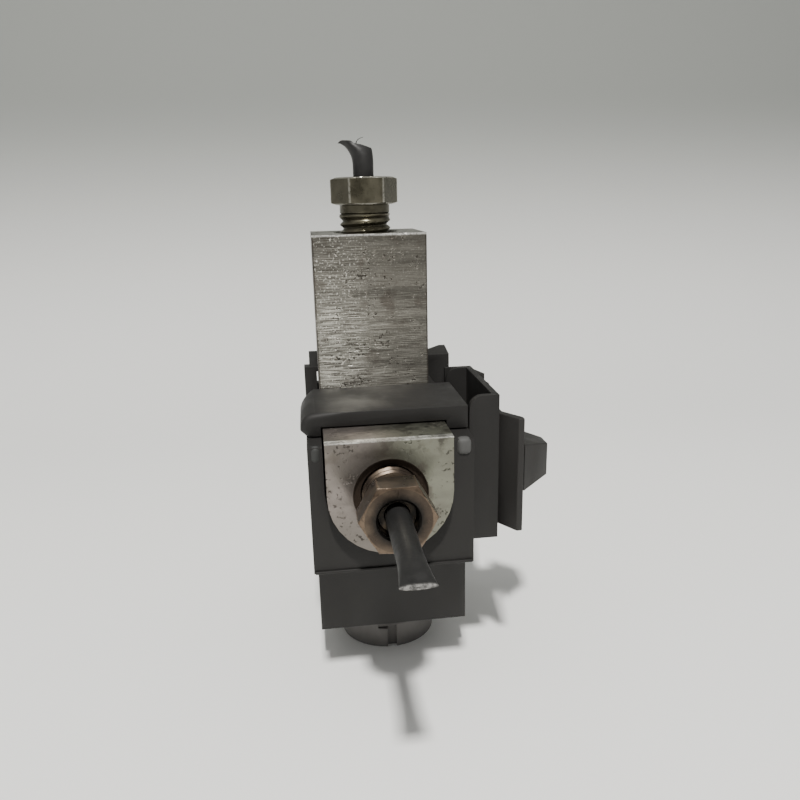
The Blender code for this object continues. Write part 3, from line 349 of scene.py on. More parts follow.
# A painted shade line on the column's front, along its two side edges.
side_edge_shade = steps_between(tree, to_middle, half_width - 0.4 * MM, half_width - 0.1 * MM)
side_edge_shade = times(tree, side_edge_shade, steps_between(tree, stain, 0.3, 0.5, 0.3, 0.8))
# Left-facing faces are darker, broken up by the stain noise.
left_face_darkening = times(tree, on_left, steps_between(tree, stain, 0.30, 0.62, 0.5, 0.95))
# Dark brown inside the front port's recess, around the fitting: painted shade, with grime.
port_shade_and_grime = steps_between(tree, port_distance, RECESS_RADIUS + 0.15 * MM, RECESS_RADIUS)
port_shade_and_grime = times(tree, port_shade_and_grime, near_front)
# Painted highlights: near-white lines along the column's top front edge and the foot's top front
# edge.
top_rim = steps_between(tree, here["Z"], body_high.z - 0.5 * MM, body_high.z - 0.1 * MM)
top_rim = times(tree, top_rim, on_front)
foot_rim = steps_between(tree, apart(tree, here["Z"], foot_high), 0.32 * MM, 0.12 * MM)
foot_rim = times(tree, foot_rim, near_front)
foot_rim = times(tree, foot_rim, steps_between(tree, stain, 0.40, 0.60, 0.75, 0.25))
rim_highlights = maths(tree, "MAXIMUM", top_rim, foot_rim)
rim_highlights = times(tree, rim_highlights, steps_between(tree, crystals, 0.3, 0.55, 0.35, 1.0))

# The colour, from the bare metal up to what lies on it, then the painted light. The foot is pinkish
# on its left and greenish on its right.
to_right = steps_between(tree, here["X"], port_middle.x - 5 * MM, port_middle.x + 3 * MM)
foot_colour = blend_colours(tree, to_right, (0.225, 0.198, 0.182), (0.20, 0.203, 0.162))
colour = blend_colours(tree, clouds, (0.105, 0.097, 0.084), (0.172, 0.163, 0.138))
for share, layer in (
    (saw_line_glints, (0.86, 0.84, 0.74)),
    (times(tree, off_column, steps_between(tree, clouds, 0.35, 0.6, 0.45, 0.9)), foot_colour),
    (grain_glints, (0.90, 0.88, 0.80)),
    (spill, (0.05, 0.046, 0.038)),
    (times(tree, side_edge_shade, on_column), (0.05, 0.042, 0.035)),
    (times(tree, steps_between(tree, stain, 0.55, 0.70), 0.6), (0.11, 0.095, 0.08)),
    (times(tree, pits, steps_between(tree, on_column, 0.0, 1.0, 0.5, 0.85)), (0.035, 0.03, 0.025)),
    (left_face_darkening, (0.07, 0.058, 0.05)),
    (port_shade_and_grime, (0.05, 0.037, 0.028)),
    (rim_highlights, (0.98, 0.97, 0.92)),
):
    colour = blend_colours(tree, share, colour, layer)
gloss = steps_between(tree, broad_lines, 0.3, 0.7, 0.34, 0.48)
dull = times(tree, maths(tree, "MAXIMUM", pits, port_shade_and_grime), 0.35)
set_look(tree, shader, colour, maths(tree, "ADD", gloss, dull))
lines = raise_surface(tree, shader, times(tree, saw_lines, on_column), 0.00006, 0.4)
worn = raise_surface(tree, shader, crystals, 0.00005, 0.5, lines)
raise_surface(tree, shader, maths(tree, "SUBTRACT", 1.0, pits), 0.00012, 0.7, worn)

valve_body = soften("valve_body_worn", mended_copy("valve_body"), milled, 0.14 * MM)
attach(valve_body, "valve")
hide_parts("valve_body")


# ---- Bracket frame
# One moulding of glass-filled black nylon: a cradle under the foot, walls up the column, two snap
# hooks and the pocket that takes the panel clip. Its moulded edges are rounded, and the lighter nub
# on each cheek's top front corner is a painted highlight.


def black_plastic(name, dark, light, lighter_colour, lighter_below=None):
    """Black plastic with smears, lighter on its tops (dusting and painted sheen) and below a height
    if given (painted bounce light and dusting).
    """
    made, tree, shader, place = new_finish(name, 0.0, 0.5)
    shader.inputs["Specular IOR Level"].default_value = 0.22
    faces = coordinates(tree, tree.nodes.new("ShaderNodeTexCoord").outputs["Normal"])
    dust_cloud = grain(tree, place, 150, 5)
    # Top faces are lighter: dusting, and a painted sheen where the light falls on them.
    upward = steps_between(tree, faces["Z"], 0.2, 0.9)
    dusting_and_painted_light = times(tree, upward, steps_between(tree, dust_cloud, 0.35, 0.6, 0.0, 0.1))
    # Below a given height it is lighter still: a painted bounce light, with dusting.
    if lighter_below is not None:
        low = steps_between(tree, coordinates(tree, place)["Z"], lighter_below, lighter_below - 1 * MM)
        low = times(tree, low, steps_between(tree, dust_cloud, 0.2, 0.6, 0.7, 1.0))
        dusting_and_painted_light = maths(tree, "MAXIMUM", dusting_and_painted_light, low)
    smears = grain(tree, place, 1.0, 4, (160, 160, 55))
    colour = blend_colours(tree, dusting_and_painted_light, blend_colours(tree, smears, dark, light), lighter_colour)
    set_look(tree, shader, colour, steps_between(tree, smears, 0.3, 0.7, 0.45, 0.65))
    texture = raise_surface(tree, shader, grain(tree, place, 2400, 3), 0.00003, 0.5)
    raise_surface(tree, shader, grain(tree, place, 220, 2), 0.0002, 0.12, texture)
    return made


nylon = black_plastic(
    "black_nylon", (0.0125, 0.0119, 0.0113), (0.0195, 0.0186, 0.0177), (0.026, 0.025, 0.024)
)
LIP = 0.35 * MM
bracket_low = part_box("bracket_frame")[0]
strap_low, strap_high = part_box("retaining_strap")
cheek_top = strap_low.z + 2.9 * MM
wall_right = strap_high.x


def rounded_block(low, high, size, steps=3):
    """A closed block with every edge rounded."""
    shape = bmesh.new()
    bmesh.ops.create_cube(shape, size=1)
    for vert in shape.verts:
        vert.co = Vector([high[i] if vert.co[i] > 0 else low[i] for i in range(3)])
    bmesh.ops.bevel(
        shape, geom=shape.edges[:], offset=size, segments=steps, profile=0.5, affect="EDGES"
    )
    return shape


def join_shapes(*shapes):
    """Puts several bmeshes into the first one."""
    first = shapes[0]
    for other in shapes[1:]:
        mesh = bpy.data.meshes.new("part")
        other.to_mesh(mesh)
        other.free()
        first.from_mesh(mesh)
        bpy.data.meshes.remove(mesh)
    return first


bracket = soften("bracket_moulding", mended_copy("bracket_frame"), nylon, 0.3 * MM, 3)
lip = rounded_block(
    (bracket_low.x + 0.2 * MM, bracket_low.y - LIP, bracket_low.z),
    (wall_right - 0.2 * MM, bracket_low.y + 1.0 * MM, bracket_low.z + 0.5 * MM),
    0.12 * MM,
)
whole = bmesh.new()
whole.from_mesh(bracket.data)
whole = join_shapes(whole, lip)
whole.to_mesh(bracket.data)
whole.free()
smooth(bracket, 30)
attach(bracket, "valve")
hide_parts("bracket_frame")

# The cheek nubs are lighter plastic than the bracket: a painted highlight on each cheek's top front
# corner, faint on the left and bright on the right.
nub_highlight = black_plastic(
    "rubbed_nylon", (0.04, 0.04, 0.039), (0.085, 0.085, 0.083), (0.09, 0.09, 0.088)
)
nub_faint_highlight = black_plastic(
    "smeared_nylon", (0.025, 0.026, 0.025), (0.04, 0.041, 0.04), (0.05, 0.05, 0.05)
)
for name, left, right, proud, finish in (
    ("left_cheek_nub", bracket_low.x + 0.3 * MM, bracket_low.x + 2.4 * MM, 0.2 * MM, nub_faint_highlight),
    ("right_cheek_nub", wall_right - 3.1 * MM, wall_right - 0.45 * MM, 0.55 * MM, nub_highlight),
):
    shape = rounded_block(
        (left, bracket_low.y - proud, cheek_top - 2.9 * MM),
        (right, bracket_low.y + 1.5 * MM, cheek_top + 0.25 * MM),
        0.95 * MM,
        5,
    )
    nub = as_object(name, shape, finish)
    nub.data.shade_smooth()
    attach(nub, "valve")


# ---- Retaining strap
# A nylon bridge over the foot, pushed down with a tongue into each cheek. Its front left end is
# moulded to a full round, and the rest of its edges are only broken.

END_ROUND = 2.2 * MM
shape = mended_copy("retaining_strap")
front_edges = [
    edge
    for edge in shape.edges
    if all(abs(vert.co.y - strap_low.y) < 0.01 * MM for vert in edge.verts)
    and all(vert.co.x < strap_low.x + 2.7 * MM for vert in edge.verts)
]
bmesh.ops.bevel(
    shape,
    geom=front_edges,
    offset=END_ROUND,
    segments=6,
    profile=0.5,
    affect="EDGES",
    clamp_overlap=True,
)
strap = soften("strap_moulding", shape, nylon, 0.3 * MM, 3, 34)
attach(strap, "valve")
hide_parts("retaining_strap")


# ---- Panel clip
# A separate nylon clip. Its head sits in the bracket's pocket, its wings press on one side of a
# panel, and its barb snaps through to the other.

clip_nylon = black_plastic(
    "clip_nylon", (0.0165, 0.0157, 0.0149), (0.0255, 0.0243, 0.0231), (0.03, 0.029, 0.028)
)
clip = soften("panel_clip", mended_copy("mount_clip"), clip_nylon, 0.22 * MM, 3)
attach(clip, "valve")
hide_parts("mount_clip")


# ---- Coil housing
# A square nylon can over the coil, on the round collar that takes the cable plug. The collar has
# three bayonet grooves.

collar_top = 6 * MM
# The can's nylon is lighter than the bracket's, a painted fill light where the bracket's overhang
# shades it. Below the collar's top it is lighter still: a painted bounce light, with dusting.
can_nylon = black_plastic(
    "can_nylon", (0.028, 0.027, 0.0258), (0.036, 0.0348, 0.0335), (0.17, 0.163, 0.156), collar_top
)
housing = soften("coil_can", mended_copy("coil_housing"), can_nylon, 0.28 * MM, 3)
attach(housing, "valve")
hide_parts("coil_housing")


# ---- Tube fittings
# A turned and plated steel fitting screws into each port: a thread, a plain neck, and a hexagon with
# both ends chamfered, bored for the air line. The front one is worn through to a coppery brown.

PITCH = 1.5 * MM
THREAD_RADIUS = 5.05 * MM
THREAD_DEPTH = 0.75 * MM
THREAD_TIP = -6.4 * MM
THREAD_END = 3.45 * MM
NECK_RADIUS = 4.85 * MM
HEX_START = 5.2 * MM
HEX_END = 10.3 * MM
ACROSS_FLATS = {"inlet": 11.0 * MM, "outlet": 11.3 * MM}
MOUTH_RADIUS = 3.25 * MM
MOUTH_BOTTOM = 1.0 * MM
BORE_RADIUS = 2.2 * MM
CORE_RADIUS = 4.1 * MM


def geometry_tree(name, **sizes):
    """A Geometry Nodes tree with one named input for each size, and its group input node."""
    tree = bpy.data.node_groups.new(name, "GeometryNodeTree")
    tree.interface.new_socket("Geometry", in_out="OUTPUT", socket_type="NodeSocketGeometry")
    kinds = {float: "NodeSocketFloat", int: "NodeSocketInt"}
    for label, value in sizes.items():
        socket = tree.interface.new_socket(
            label.replace("_", " "), in_out="INPUT", socket_type=kinds[type(value)]
        )
        socket.default_value = value
    tree.interface.new_socket("Material", in_out="INPUT", socket_type="NodeSocketMaterial")
    given = tree.nodes.new("NodeGroupInput")
    return tree, given.outputs


def close_tree(tree, given, *pieces):
    """Ends a tree: its pieces joined, with instances made real, then the material."""
    joined = tree.nodes.new("GeometryNodeJoinGeometry")
    for piece in pieces:
        tree.links.new(piece, joined.inputs[0])
    real = add_node(tree, "GeometryNodeRealizeInstances", Geometry=joined.outputs[0]).outputs[0]
    painted = add_node(tree, "GeometryNodeSetMaterial", Geometry=real, Material=given["Material"])
    tree.links.new(painted.outputs[0], tree.nodes.new("NodeGroupOutput").inputs[0])


def grow(name, tree, material, **sizes):
    """Runs a tree on an empty mesh with these sizes, and returns the result as a bmesh."""
    made = as_object(name, bpy.data.meshes.new(name))
    modifier = made.modifiers.new(name, "NODES")
    modifier.node_group = tree
    items = tree.interface.items_tree
    sockets = {item.name: item.identifier for item in items if item.in_out == "INPUT"}
    for label, value in sizes.items():
        modifier[sockets[label.replace("_", " ")]] = value
    modifier[sockets["Material"]] = material
    evaluated = made.evaluated_get(bpy.context.evaluated_depsgraph_get())
    mesh = bpy.data.meshes.new_from_object(evaluated)
    bpy.data.objects.remove(made)
    shape = bmesh.new()
    shape.from_mesh(mesh)
    bpy.data.meshes.remove(mesh)
    bmesh.ops.recalc_face_normals(shape, faces=shape.faces)
    return shape


def thread_tree():
    """A threaded tube: a sheet of rows and columns, rolled up and pushed in along a helix.

    Its last three rows run back down the bore and close on the first row.
    """
    tree, given = geometry_tree(
        "rolled_thread",
        Radius=5 * MM,
        Depth=0.6 * MM,
        Pitch=PITCH,
        Tip=0.0,
        End=10 * MM,
        Bore=4 * MM,
        Sides=72,
        Rows=96,
    )
    sides = maths(tree, "ADD", given["Sides"], 1)
    rows = maths(tree, "ADD", given["Rows"], 3)
    sheet = add_node(
        tree, "GeometryNodeMeshGrid", Size_X=1.0, Size_Y=1.0, Vertices_X=sides, Vertices_Y=rows
    )
    spot = coordinates(tree, tree.nodes.new("GeometryNodeInputPosition").outputs[0])
    turn = maths(tree, "ADD", spot["X"], 0.5)
    row = maths(tree, "ADD", spot["Y"], 0.5)
    row = times(tree, row, maths(tree, "ADD", given["Rows"], 2))
    last = maths(tree, "SUBTRACT", given["Rows"], 1)
    outside = maths(tree, "LESS_THAN", row, maths(tree, "ADD", last, 0.5))
    at_end = maths(tree, "LESS_THAN", row, maths(tree, "ADD", last, 1.5))
    closing = maths(tree, "GREATER_THAN", row, maths(tree, "ADD", last, 2.5))
    share = times(tree, maths(tree, "DIVIDE", row, last), outside)
    share = maths(tree, "ADD", share, maths(tree, "SUBTRACT", at_end, outside))
    length = maths(tree, "SUBTRACT", given["End"], given["Tip"])
    height = maths(tree, "MULTIPLY_ADD", share, length, given["Tip"])
    turns = maths(tree, "DIVIDE", height, given["Pitch"])
    phase = maths(tree, "FRACT", maths(tree, "SUBTRACT", turns, turn))
    ridge = maths(tree, "ABSOLUTE", maths(tree, "MULTIPLY_ADD", phase, 2.0, -1.0))
    flank = times(tree, maths(tree, "MAXIMUM", ridge, 0.12), 1.2)
    flank = maths(tree, "MINIMUM", flank, 1.0)
    run_out = maths(tree, "DIVIDE", maths(tree, "SUBTRACT", given["End"], height), given["Pitch"])
    run_out = maths(tree, "MINIMUM", maths(tree, "MAXIMUM", run_out, 0.25), 1.0)
    cut = times(tree, times(tree, flank, given["Depth"]), run_out)
    crest = maths(tree, "SUBTRACT", given["Radius"], cut)
    cone = maths(tree, "SUBTRACT", maths(tree, "ADD", given["Radius"], height), given["Tip"])
    cone = maths(tree, "SUBTRACT", cone, given["Depth"])
    crest = maths(tree, "MINIMUM", crest, cone)
    on_crest = maths(tree, "MAXIMUM", outside, closing)
    radius = maths(
        tree,
        "ADD",
        times(tree, crest, on_crest),
        times(tree, given["Bore"], maths(tree, "SUBTRACT", 1.0, on_crest)),
    )
    angle = times(tree, turn, 2 * math.pi)
    rolled = add_node(
        tree,
        "ShaderNodeCombineXYZ",
        X=times(tree, radius, maths(tree, "COSINE", angle)),
        Y=times(tree, radius, maths(tree, "SINE", angle)),
        Z=height,
    )
    flat = sheet.outputs["Mesh"]
    moved = add_node(tree, "GeometryNodeSetPosition", Geometry=flat, Position=rolled.outputs[0])
    moved = moved.outputs[0]
    sealed = add_node(tree, "GeometryNodeMergeByDistance", Geometry=moved, Distance=0.0005 * MM)
    close_tree(tree, given, sealed.outputs[0])
    return tree


def spun(stations, flats=None, sides=96):
    """A closed turned shape through (height, radius) stations. Flats keep it inside a hexagon."""
    shape = bmesh.new()
    rings = []
    for height, radius in stations:
        ring = []
        for i in range(sides):
            angle = 2 * math.pi * i / sides
            reach = radius
            if flats is not None:
                off_flat = (angle % (math.pi / 3)) - math.pi / 6
                reach = min(radius, flats / 2 / math.cos(off_flat))
            ring.append(shape.verts.new((reach * math.cos(angle), reach * math.sin(angle), height)))
        rings.append(ring)
    for first, second in zip(rings, [*rings[1:], rings[0]]):
        for i in range(sides):
            j = (i + 1) % sides
            shape.faces.new((first[i], first[j], second[j], second[i]))
    bmesh.ops.recalc_face_normals(shape, faces=shape.faces)
    return shape


def fitting_stations(across):
    """Round the section: up the core and neck, over the hexagon, and down the mouth and bore."""
    corner = across / math.sqrt(3)
    chamfer_from = across / 2 * 0.98
    chamfer_height = (corner - chamfer_from) * math.tan(math.radians(20))
    steps = 6
    chamfer = [
        (chamfer_height * i / steps, chamfer_from + (corner - chamfer_from) * i / steps)
        for i in range(steps + 1)
    ]
    return [
        (THREAD_TIP + 0.05 * MM, BORE_RADIUS),
        (THREAD_TIP + 0.05 * MM, CORE_RADIUS),
        (THREAD_END - 0.5 * MM, CORE_RADIUS),
        (THREAD_END - 0.1 * MM, NECK_RADIUS - 0.35 * MM),
        (THREAD_END + 0.25 * MM, NECK_RADIUS),
        (HEX_START - 0.15 * MM, NECK_RADIUS),
        (HEX_START, NECK_RADIUS + 0.15 * MM),
        *[(HEX_START + height, radius) for height, radius in chamfer],
        *[(HEX_END - height, radius) for height, radius in reversed(chamfer)],
        (HEX_END, MOUTH_RADIUS + 0.35 * MM),
        (HEX_END - 0.3 * MM, MOUTH_RADIUS),
        (MOUTH_BOTTOM, MOUTH_RADIUS),
        (MOUTH_BOTTOM - 0.5 * MM, BORE_RADIUS),
    ]


port_places = {}
for port, turn in (("inlet", Matrix.Rotation(math.pi / 2, 4, "X")), ("outlet", Matrix.Identity(4))):
    low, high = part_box(f"{port}_fitting")
    middle = (low + high) / 2
    if port == "inlet":
        face = Vector((middle.x, low.y + HEX_END, middle.z))
    else:
        face = Vector((middle.x, middle.y, high.z - HEX_END))
    port_places[port] = Matrix.Translation(face) @ turn


def plating(name, port, fresh, worn, dirt, edge, roughness):
    """Dull plating, lighter in patches, with a painted highlight and wear on the hexagon's edges, and
    black at its mouth with painted shade and grime.
    """
    made, tree, shader, place = new_finish(name, 0.85, roughness)
    clouds = grain(tree, place, 330, 4)
    specks = grain(tree, place, 1800, 3)
    colour = blend_colours(tree, steps_between(tree, clouds, 0.38, 0.66), fresh, worn)
    speckled = times(tree, steps_between(tree, specks, 0.55, 0.75), 0.3)
    colour = blend_colours(tree, speckled, colour, dirt)
    face = port_places[port].translation
    here = coordinates(tree, place)
    from_face = [maths(tree, "SUBTRACT", here[i], face[i]) for i in range(3)]
    along = from_face[2] if port == "outlet" else times(tree, from_face[1], -1)
    other = from_face[1] if port == "outlet" else from_face[2]
    squares = maths(tree, "MULTIPLY_ADD", other, other, times(tree, from_face[0], from_face[0]))
    distance = maths(tree, "SQRT", squares)
    corner = ACROSS_FLATS[port] / math.sqrt(3)
    # Lighter along the hexagon's corners and chamfered ends: a painted highlight, with wear.
    edge_highlight_and_wear = steps_between(tree, distance, corner - 0.18 * MM, corner - 0.06 * MM)
    for height in (HEX_START, HEX_END):
        near = steps_between(tree, apart(tree, along, height), 0.36 * MM, 0.2 * MM)
        near = times(tree, near, steps_between(tree, distance, corner - 1.1 * MM, corner - 0.9 * MM))
        edge_highlight_and_wear = maths(tree, "MAXIMUM", edge_highlight_and_wear, near)
    edge_highlight_and_wear = times(tree, edge_highlight_and_wear, steps_between(tree, specks, 0.3, 0.55, 0.35, 1.0))
    colour = blend_colours(tree, edge_highlight_and_wear, colour, edge)
    # Near black in and around the mouth: painted shade inside the bore, with dark grime on the face
    # around it.
    ragged = maths(tree, "MULTIPLY_ADD", specks, 0.8 * MM, distance)
    mouth = steps_between(tree, ragged, MOUTH_RADIUS + 2.2 * MM, MOUTH_RADIUS + 0.5 * MM)
    mouth = times(tree, mouth, steps_between(tree, along, HEX_END - 2 * MM, HEX_END - 1 * MM))
    colour = blend_colours(tree, mouth, colour, (0.012, 0.011, 0.010))
    gloss = steps_between(tree, clouds, 0.3, 0.7, roughness - 0.06, roughness + 0.12)
    set_look(tree, shader, colour, gloss)
    raise_surface(tree, shader, specks, 0.00003, 0.4)
    return made


finishes = {
    "inlet": plating(
        "worn_plating",
        "inlet",
        fresh=(0.05, 0.038, 0.029),
        worn=(0.098, 0.075, 0.055),
        dirt=(0.03, 0.022, 0.018),
        edge=(0.14, 0.102, 0.072),
        roughness=0.32,
    ),
    "outlet": plating(
        "dull_plating",
        "outlet",
        fresh=(0.085, 0.078, 0.054),
        worn=(0.108, 0.10, 0.072),
        dirt=(0.045, 0.041, 0.032),
        edge=(0.34, 0.33, 0.285),
        roughness=0.3,
    ),
}
rolled_thread = thread_tree()
for port, to_port in port_places.items():
    thread = grow(
        f"{port}_thread",
        rolled_thread,
        finishes[port],
        Radius=THREAD_RADIUS,
        Depth=THREAD_DEPTH,
        Pitch=PITCH,
        Tip=THREAD_TIP,
        End=THREAD_END,
        Bore=CORE_RADIUS - 0.1 * MM,
        Sides=84,
        Rows=120,
    )
    across = ACROSS_FLATS[port]
    shape = join_shapes(spun(fitting_stations(across), across), thread)
    shape.transform(to_port)
    fitting = as_object(f"{port}_screwed_fitting", shape, finishes[port])
    smooth(fitting, 24)
    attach(fitting, f"{port}_nut")
    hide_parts(f"{port}_fitting")


# ---- Air lines
# Black polyamide line, 4 mm outside, cut off with pliers: the front end is squeezed flat and shows a
# pale cut face, and the top end leans over with a torn lip and a stray hair of plastic.

LINE_RADIUS = 2.0 * MM
LINE_BORE = 1.25 * MM
LINE_SIDES = 40

line_plastic, tree, shader, place = new_finish("line_plastic", 0.0, 0.45)
shader.inputs["Specular IOR Level"].default_value = 0.3
cut_share = add_node(tree, "ShaderNodeAttribute", {"attribute_name": "cut_face"}).outputs["Fac"]
scuffs = grain(tree, place, 420, 4)
fine = grain(tree, place, 2200, 3)
colour = blend_colours(tree, scuffs, (0.009, 0.009, 0.0088), (0.019, 0.0185, 0.018))
rag = steps_between(tree, fine, 0.35, 0.6, 0.25, 1.0)
rag = times(tree, maths(tree, "POWER", cut_share, 3.0), rag)
colour = blend_colours(tree, rag, colour, (0.21, 0.205, 0.195))
set_look(tree, shader, colour, steps_between(tree, scuffs, 0.3, 0.7, 0.36, 0.55))
raise_surface(tree, shader, fine, 0.00004, 0.4)


def cut_line(stations, cut_face):
    """A tube through (centre, half width, half height, slant, bore share) stations.

    The weights say how pale its cut end is.
    """
    shape = bmesh.new()
    weights = shape.verts.layers.float.new("cut_face")
    outer, inner = [], []
    for number, (centre, half_x, half_y, slant, bore) in enumerate(stations):
        walls = ((outer, 1.0), (inner, bore))
        for wall, share in walls:
            ring = []
            for i in range(LINE_SIDES):
                angle = 2 * math.pi * i / LINE_SIDES
                x, y = half_x * math.cos(angle), half_y * math.sin(angle)
                rough = noise.noise(Vector((x, y, number * MM)) * 900) * 0.12 * MM * (abs(slant) > 0)
                curl = -slant * 3.2 * max(0.0, -x / MM - 2.2) ** 2 * MM
                vert = shape.verts.new(
                    centre + Vector((x * share, y * share, -slant * x + curl + rough))
                )
                vert[weights] = cut_face if number == len(stations) - 1 else 0.0
                ring.append(vert)
            wall.append(ring)
    loop = [*outer, *reversed(inner)]
    for first, second in zip(loop, [*loop[1:], loop[0]]):
        for i in range(LINE_SIDES):
            j = (i + 1) % LINE_SIDES
            shape.faces.new((first[i], first[j], second[j], second[i]))
    bmesh.ops.recalc_face_normals(shape, faces=shape.faces)
    return shape


def stray_hair(start, end, lift, radius):
    """A thread of plastic: a thin tapering tube bowed sideways between two points."""
    shape = bmesh.new()
    rings = []
    steps = 10
    for i in range(steps + 1):
        share = i / steps
        centre = start.lerp(end, share) + lift * math.sin(math.pi * share)
        size = radius * (1 - 0.6 * share)
        rings.append(
            [
                shape.verts.new(centre + Vector((size * math.cos(a), 0, size * math.sin(a))))
                for a in (0, 1.26, 2.51, 3.77, 5.03)
            ]
        )
    for first, second in zip(rings, rings[1:]):
        for i in range(5):
            j = (i + 1) % 5
            shape.faces.new((first[i], first[j], second[j], second[i]))
    shape.faces.new(rings[0])
    shape.faces.new(rings[-1])
    bmesh.ops.recalc_face_normals(shape, faces=shape.faces)
    return shape


def line_stations(length, taper, half_width, half_height, lean, slant, bore, power):
    """Straight out of the fitting, then easing into the squeezed end."""
    inside = -7.4 * MM
    end = HEX_END + length
    stations = [
        (Vector((0, 0, inside)), LINE_RADIUS, LINE_RADIUS, 0.0, LINE_BORE / LINE_RADIUS),
        (Vector((0, 0, end - taper)), LINE_RADIUS, LINE_RADIUS, 0.0, LINE_BORE / LINE_RADIUS),
    ]
    steps = 14
    for i in range(1, steps + 1):
        share = i / steps
        ease = share**power
        stations.append(
            (
                Vector((-lean * ease, 0, end - taper + taper * share)),
                LINE_RADIUS + (half_width - LINE_RADIUS) * ease,
                LINE_RADIUS + (half_height - LINE_RADIUS) * ease,
                slant * share**2,
                (LINE_BORE / LINE_RADIUS) * (1 - ease) + bore * ease,
            )
        )
    return stations


inlet_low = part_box("inlet_line")[0]
inlet_stub = port_places["inlet"].translation.y - inlet_low.y - HEX_END
shape = cut_line(line_stations(inlet_stub, 8 * MM, 2.6 * MM, 0.37 * MM, 0, 0.02, 0.12, 1.7), 1.0)
shape.transform(port_places["inlet"])
inlet_line = as_object("inlet_air_line", shape, line_plastic)

outlet_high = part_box("outlet_line")[1]
outlet_stub = outlet_high.z - port_places["outlet"].translation.z - HEX_END
shape = cut_line(
    line_stations(outlet_stub - 0.1 * MM, 4.4 * MM, 3.2 * MM, 1.2 * MM, 1.5 * MM, 0.27, 0.5, 2.8), 0.3
)
top = HEX_END + outlet_stub
hair = stray_hair(
    Vector((-1.3 * MM, -0.6 * MM, top - 0.2 * MM)),
    Vector((0.1 * MM, -0.6 * MM, top + 0.95 * MM)),
    Vector((-0.25 * MM, 0, 0.18 * MM)),
    0.09 * MM,
)
shape = join_shapes(shape, hair)
shape.transform(port_places["outlet"])
outlet_line = as_object("outlet_air_line", shape, line_plastic)

for port, line in (("inlet", inlet_line), ("outlet", outlet_line)):
    smooth(line, 50)
    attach(line, f"{port}_line_set")
    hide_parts(f"{port}_line")


# ---- Collets, sleeves, pins, valve seat and vent plug
# The small brass pieces. The collets grip the lines, a sleeve stiffens each line's bore, and two
# round pins stand in the plug socket. They are turned, and dulled by handling.


def paint(material, *names):
    """Gives carried-over CAD nodes a material."""
    for name in names:
        nodes[name].material_slots[0].material = material


brass, tree, shader, place = new_finish("turned_brass", 0.95, 0.32)
tarnish = grain(tree, place, 380, 4)
marks = grain(tree, place, 1.0, 2, (300, 300, 5200))
share = steps_between(tree, tarnish, 0.35, 0.7)
colour = blend_colours(tree, share, (0.66, 0.47, 0.20), (0.42, 0.28, 0.12))
set_look(tree, shader, colour, steps_between(tree, tarnish, 0.3, 0.7, 0.26, 0.44))
raise_surface(tree, shader, marks, 0.00002, 0.4)
paint(brass, "pin_front", "pin_rear", "valve_seat", "inlet_line_sleeve", "outlet_line_sleeve")

# The collets are near black: grime, and a painted shade for the dark inside of each fitting's mouth.
collet_grime_and_shade, tree, shader, place = new_finish("grimy_brass", 0.4, 0.6)
grime = grain(tree, place, 600, 4)
share = steps_between(tree, grime, 0.35, 0.7)
colour = blend_colours(tree, share, (0.018, 0.015, 0.012), (0.06, 0.045, 0.028))
set_look(tree, shader, colour)
raise_surface(tree, shader, grime, 0.00006, 0.5)
paint(collet_grime_and_shade, "inlet_collet", "outlet_collet")

GRAIN_RADIUS = 0.24 * MM
sintered, tree, shader, place = new_finish("sintered_bronze", 0.9, 0.5)
share = steps_between(tree, grain(tree, place, 1500, 2), 0.35, 0.65)
colour = blend_colours(tree, share, (0.50, 0.33, 0.16), (0.26, 0.17, 0.09))
set_look(tree, shader, colour)
raise_surface(tree, shader, grain(tree, place, 4000, 2), 0.00003, 0.5)

tree, given = geometry_tree(
    "sintered_disc",
    Radius=3 * MM,
    Thickness=1 * MM,
    Grain=GRAIN_RADIUS,
    Grains_per_area=1000.0,
    Seed=3,
)
blank = add_node(
    tree,
    "GeometryNodeMeshCylinder",
    Vertices=64,
    Radius=given["Radius"],
    Depth=given["Thickness"],
)
spread = add_node(
    tree,
    "GeometryNodeDistributePointsOnFaces",
    Mesh=blank.outputs["Mesh"],
    Density=given["Grains per area"],
    Seed=given["Seed"],
)
ball = add_node(tree, "GeometryNodeMeshIcoSphere", Radius=given["Grain"], Subdivisions=2)
sizes = add_node(tree, "FunctionNodeRandomValue", {"data_type": "FLOAT"}, Seed=given["Seed"])
sizes.inputs[2].default_value = 0.6
sizes.inputs[3].default_value = 1.15
grains = add_node(
    tree,
    "GeometryNodeInstanceOnPoints",
    Points=spread.outputs["Points"],
    Instance=ball.outputs["Mesh"],
    Scale=sizes.outputs[1],
)
close_tree(tree, given, blank.outputs["Mesh"], grains.outputs[0])

plug_low, plug_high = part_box("vent_plug")
cap_thickness = 0.6 * MM
shape = grow(
    "vent_grains",
    tree,
    sintered,
    Radius=(plug_high.x - plug_low.x) / 2 - GRAIN_RADIUS,
    Thickness=cap_thickness,
    Grain=GRAIN_RADIUS,
    Grains_per_area=9.5e6,
    Seed=3,
)
plug_middle = (plug_low + plug_high) / 2
cap_middle = plug_high.y - cap_thickness / 2 - GRAIN_RADIUS / 2
shape.transform(
    Matrix.Translation((plug_middle.x, cap_middle, plug_middle.z))
    @ Matrix.Rotation(-math.pi / 2, 4, "X")
)
vent = as_object("sintered_vent", shape, sintered)
smooth(vent, 60)
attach(vent, "valve")
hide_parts("vent_plug")


# ---- Housing screws
# Four stainless screws hold the bracket down on the housing's bosses. Each has a cheese head with a
# round socket and a rolled thread, and all four are one piece here.

screw_low, screw_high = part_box("housing_screw_1")
far_low, far_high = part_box("housing_screw_4")
SCREW_THREAD = 1.25 * MM
HEAD_RADIUS = 2.6 * MM
HEAD_HEIGHT = 2.0 * MM

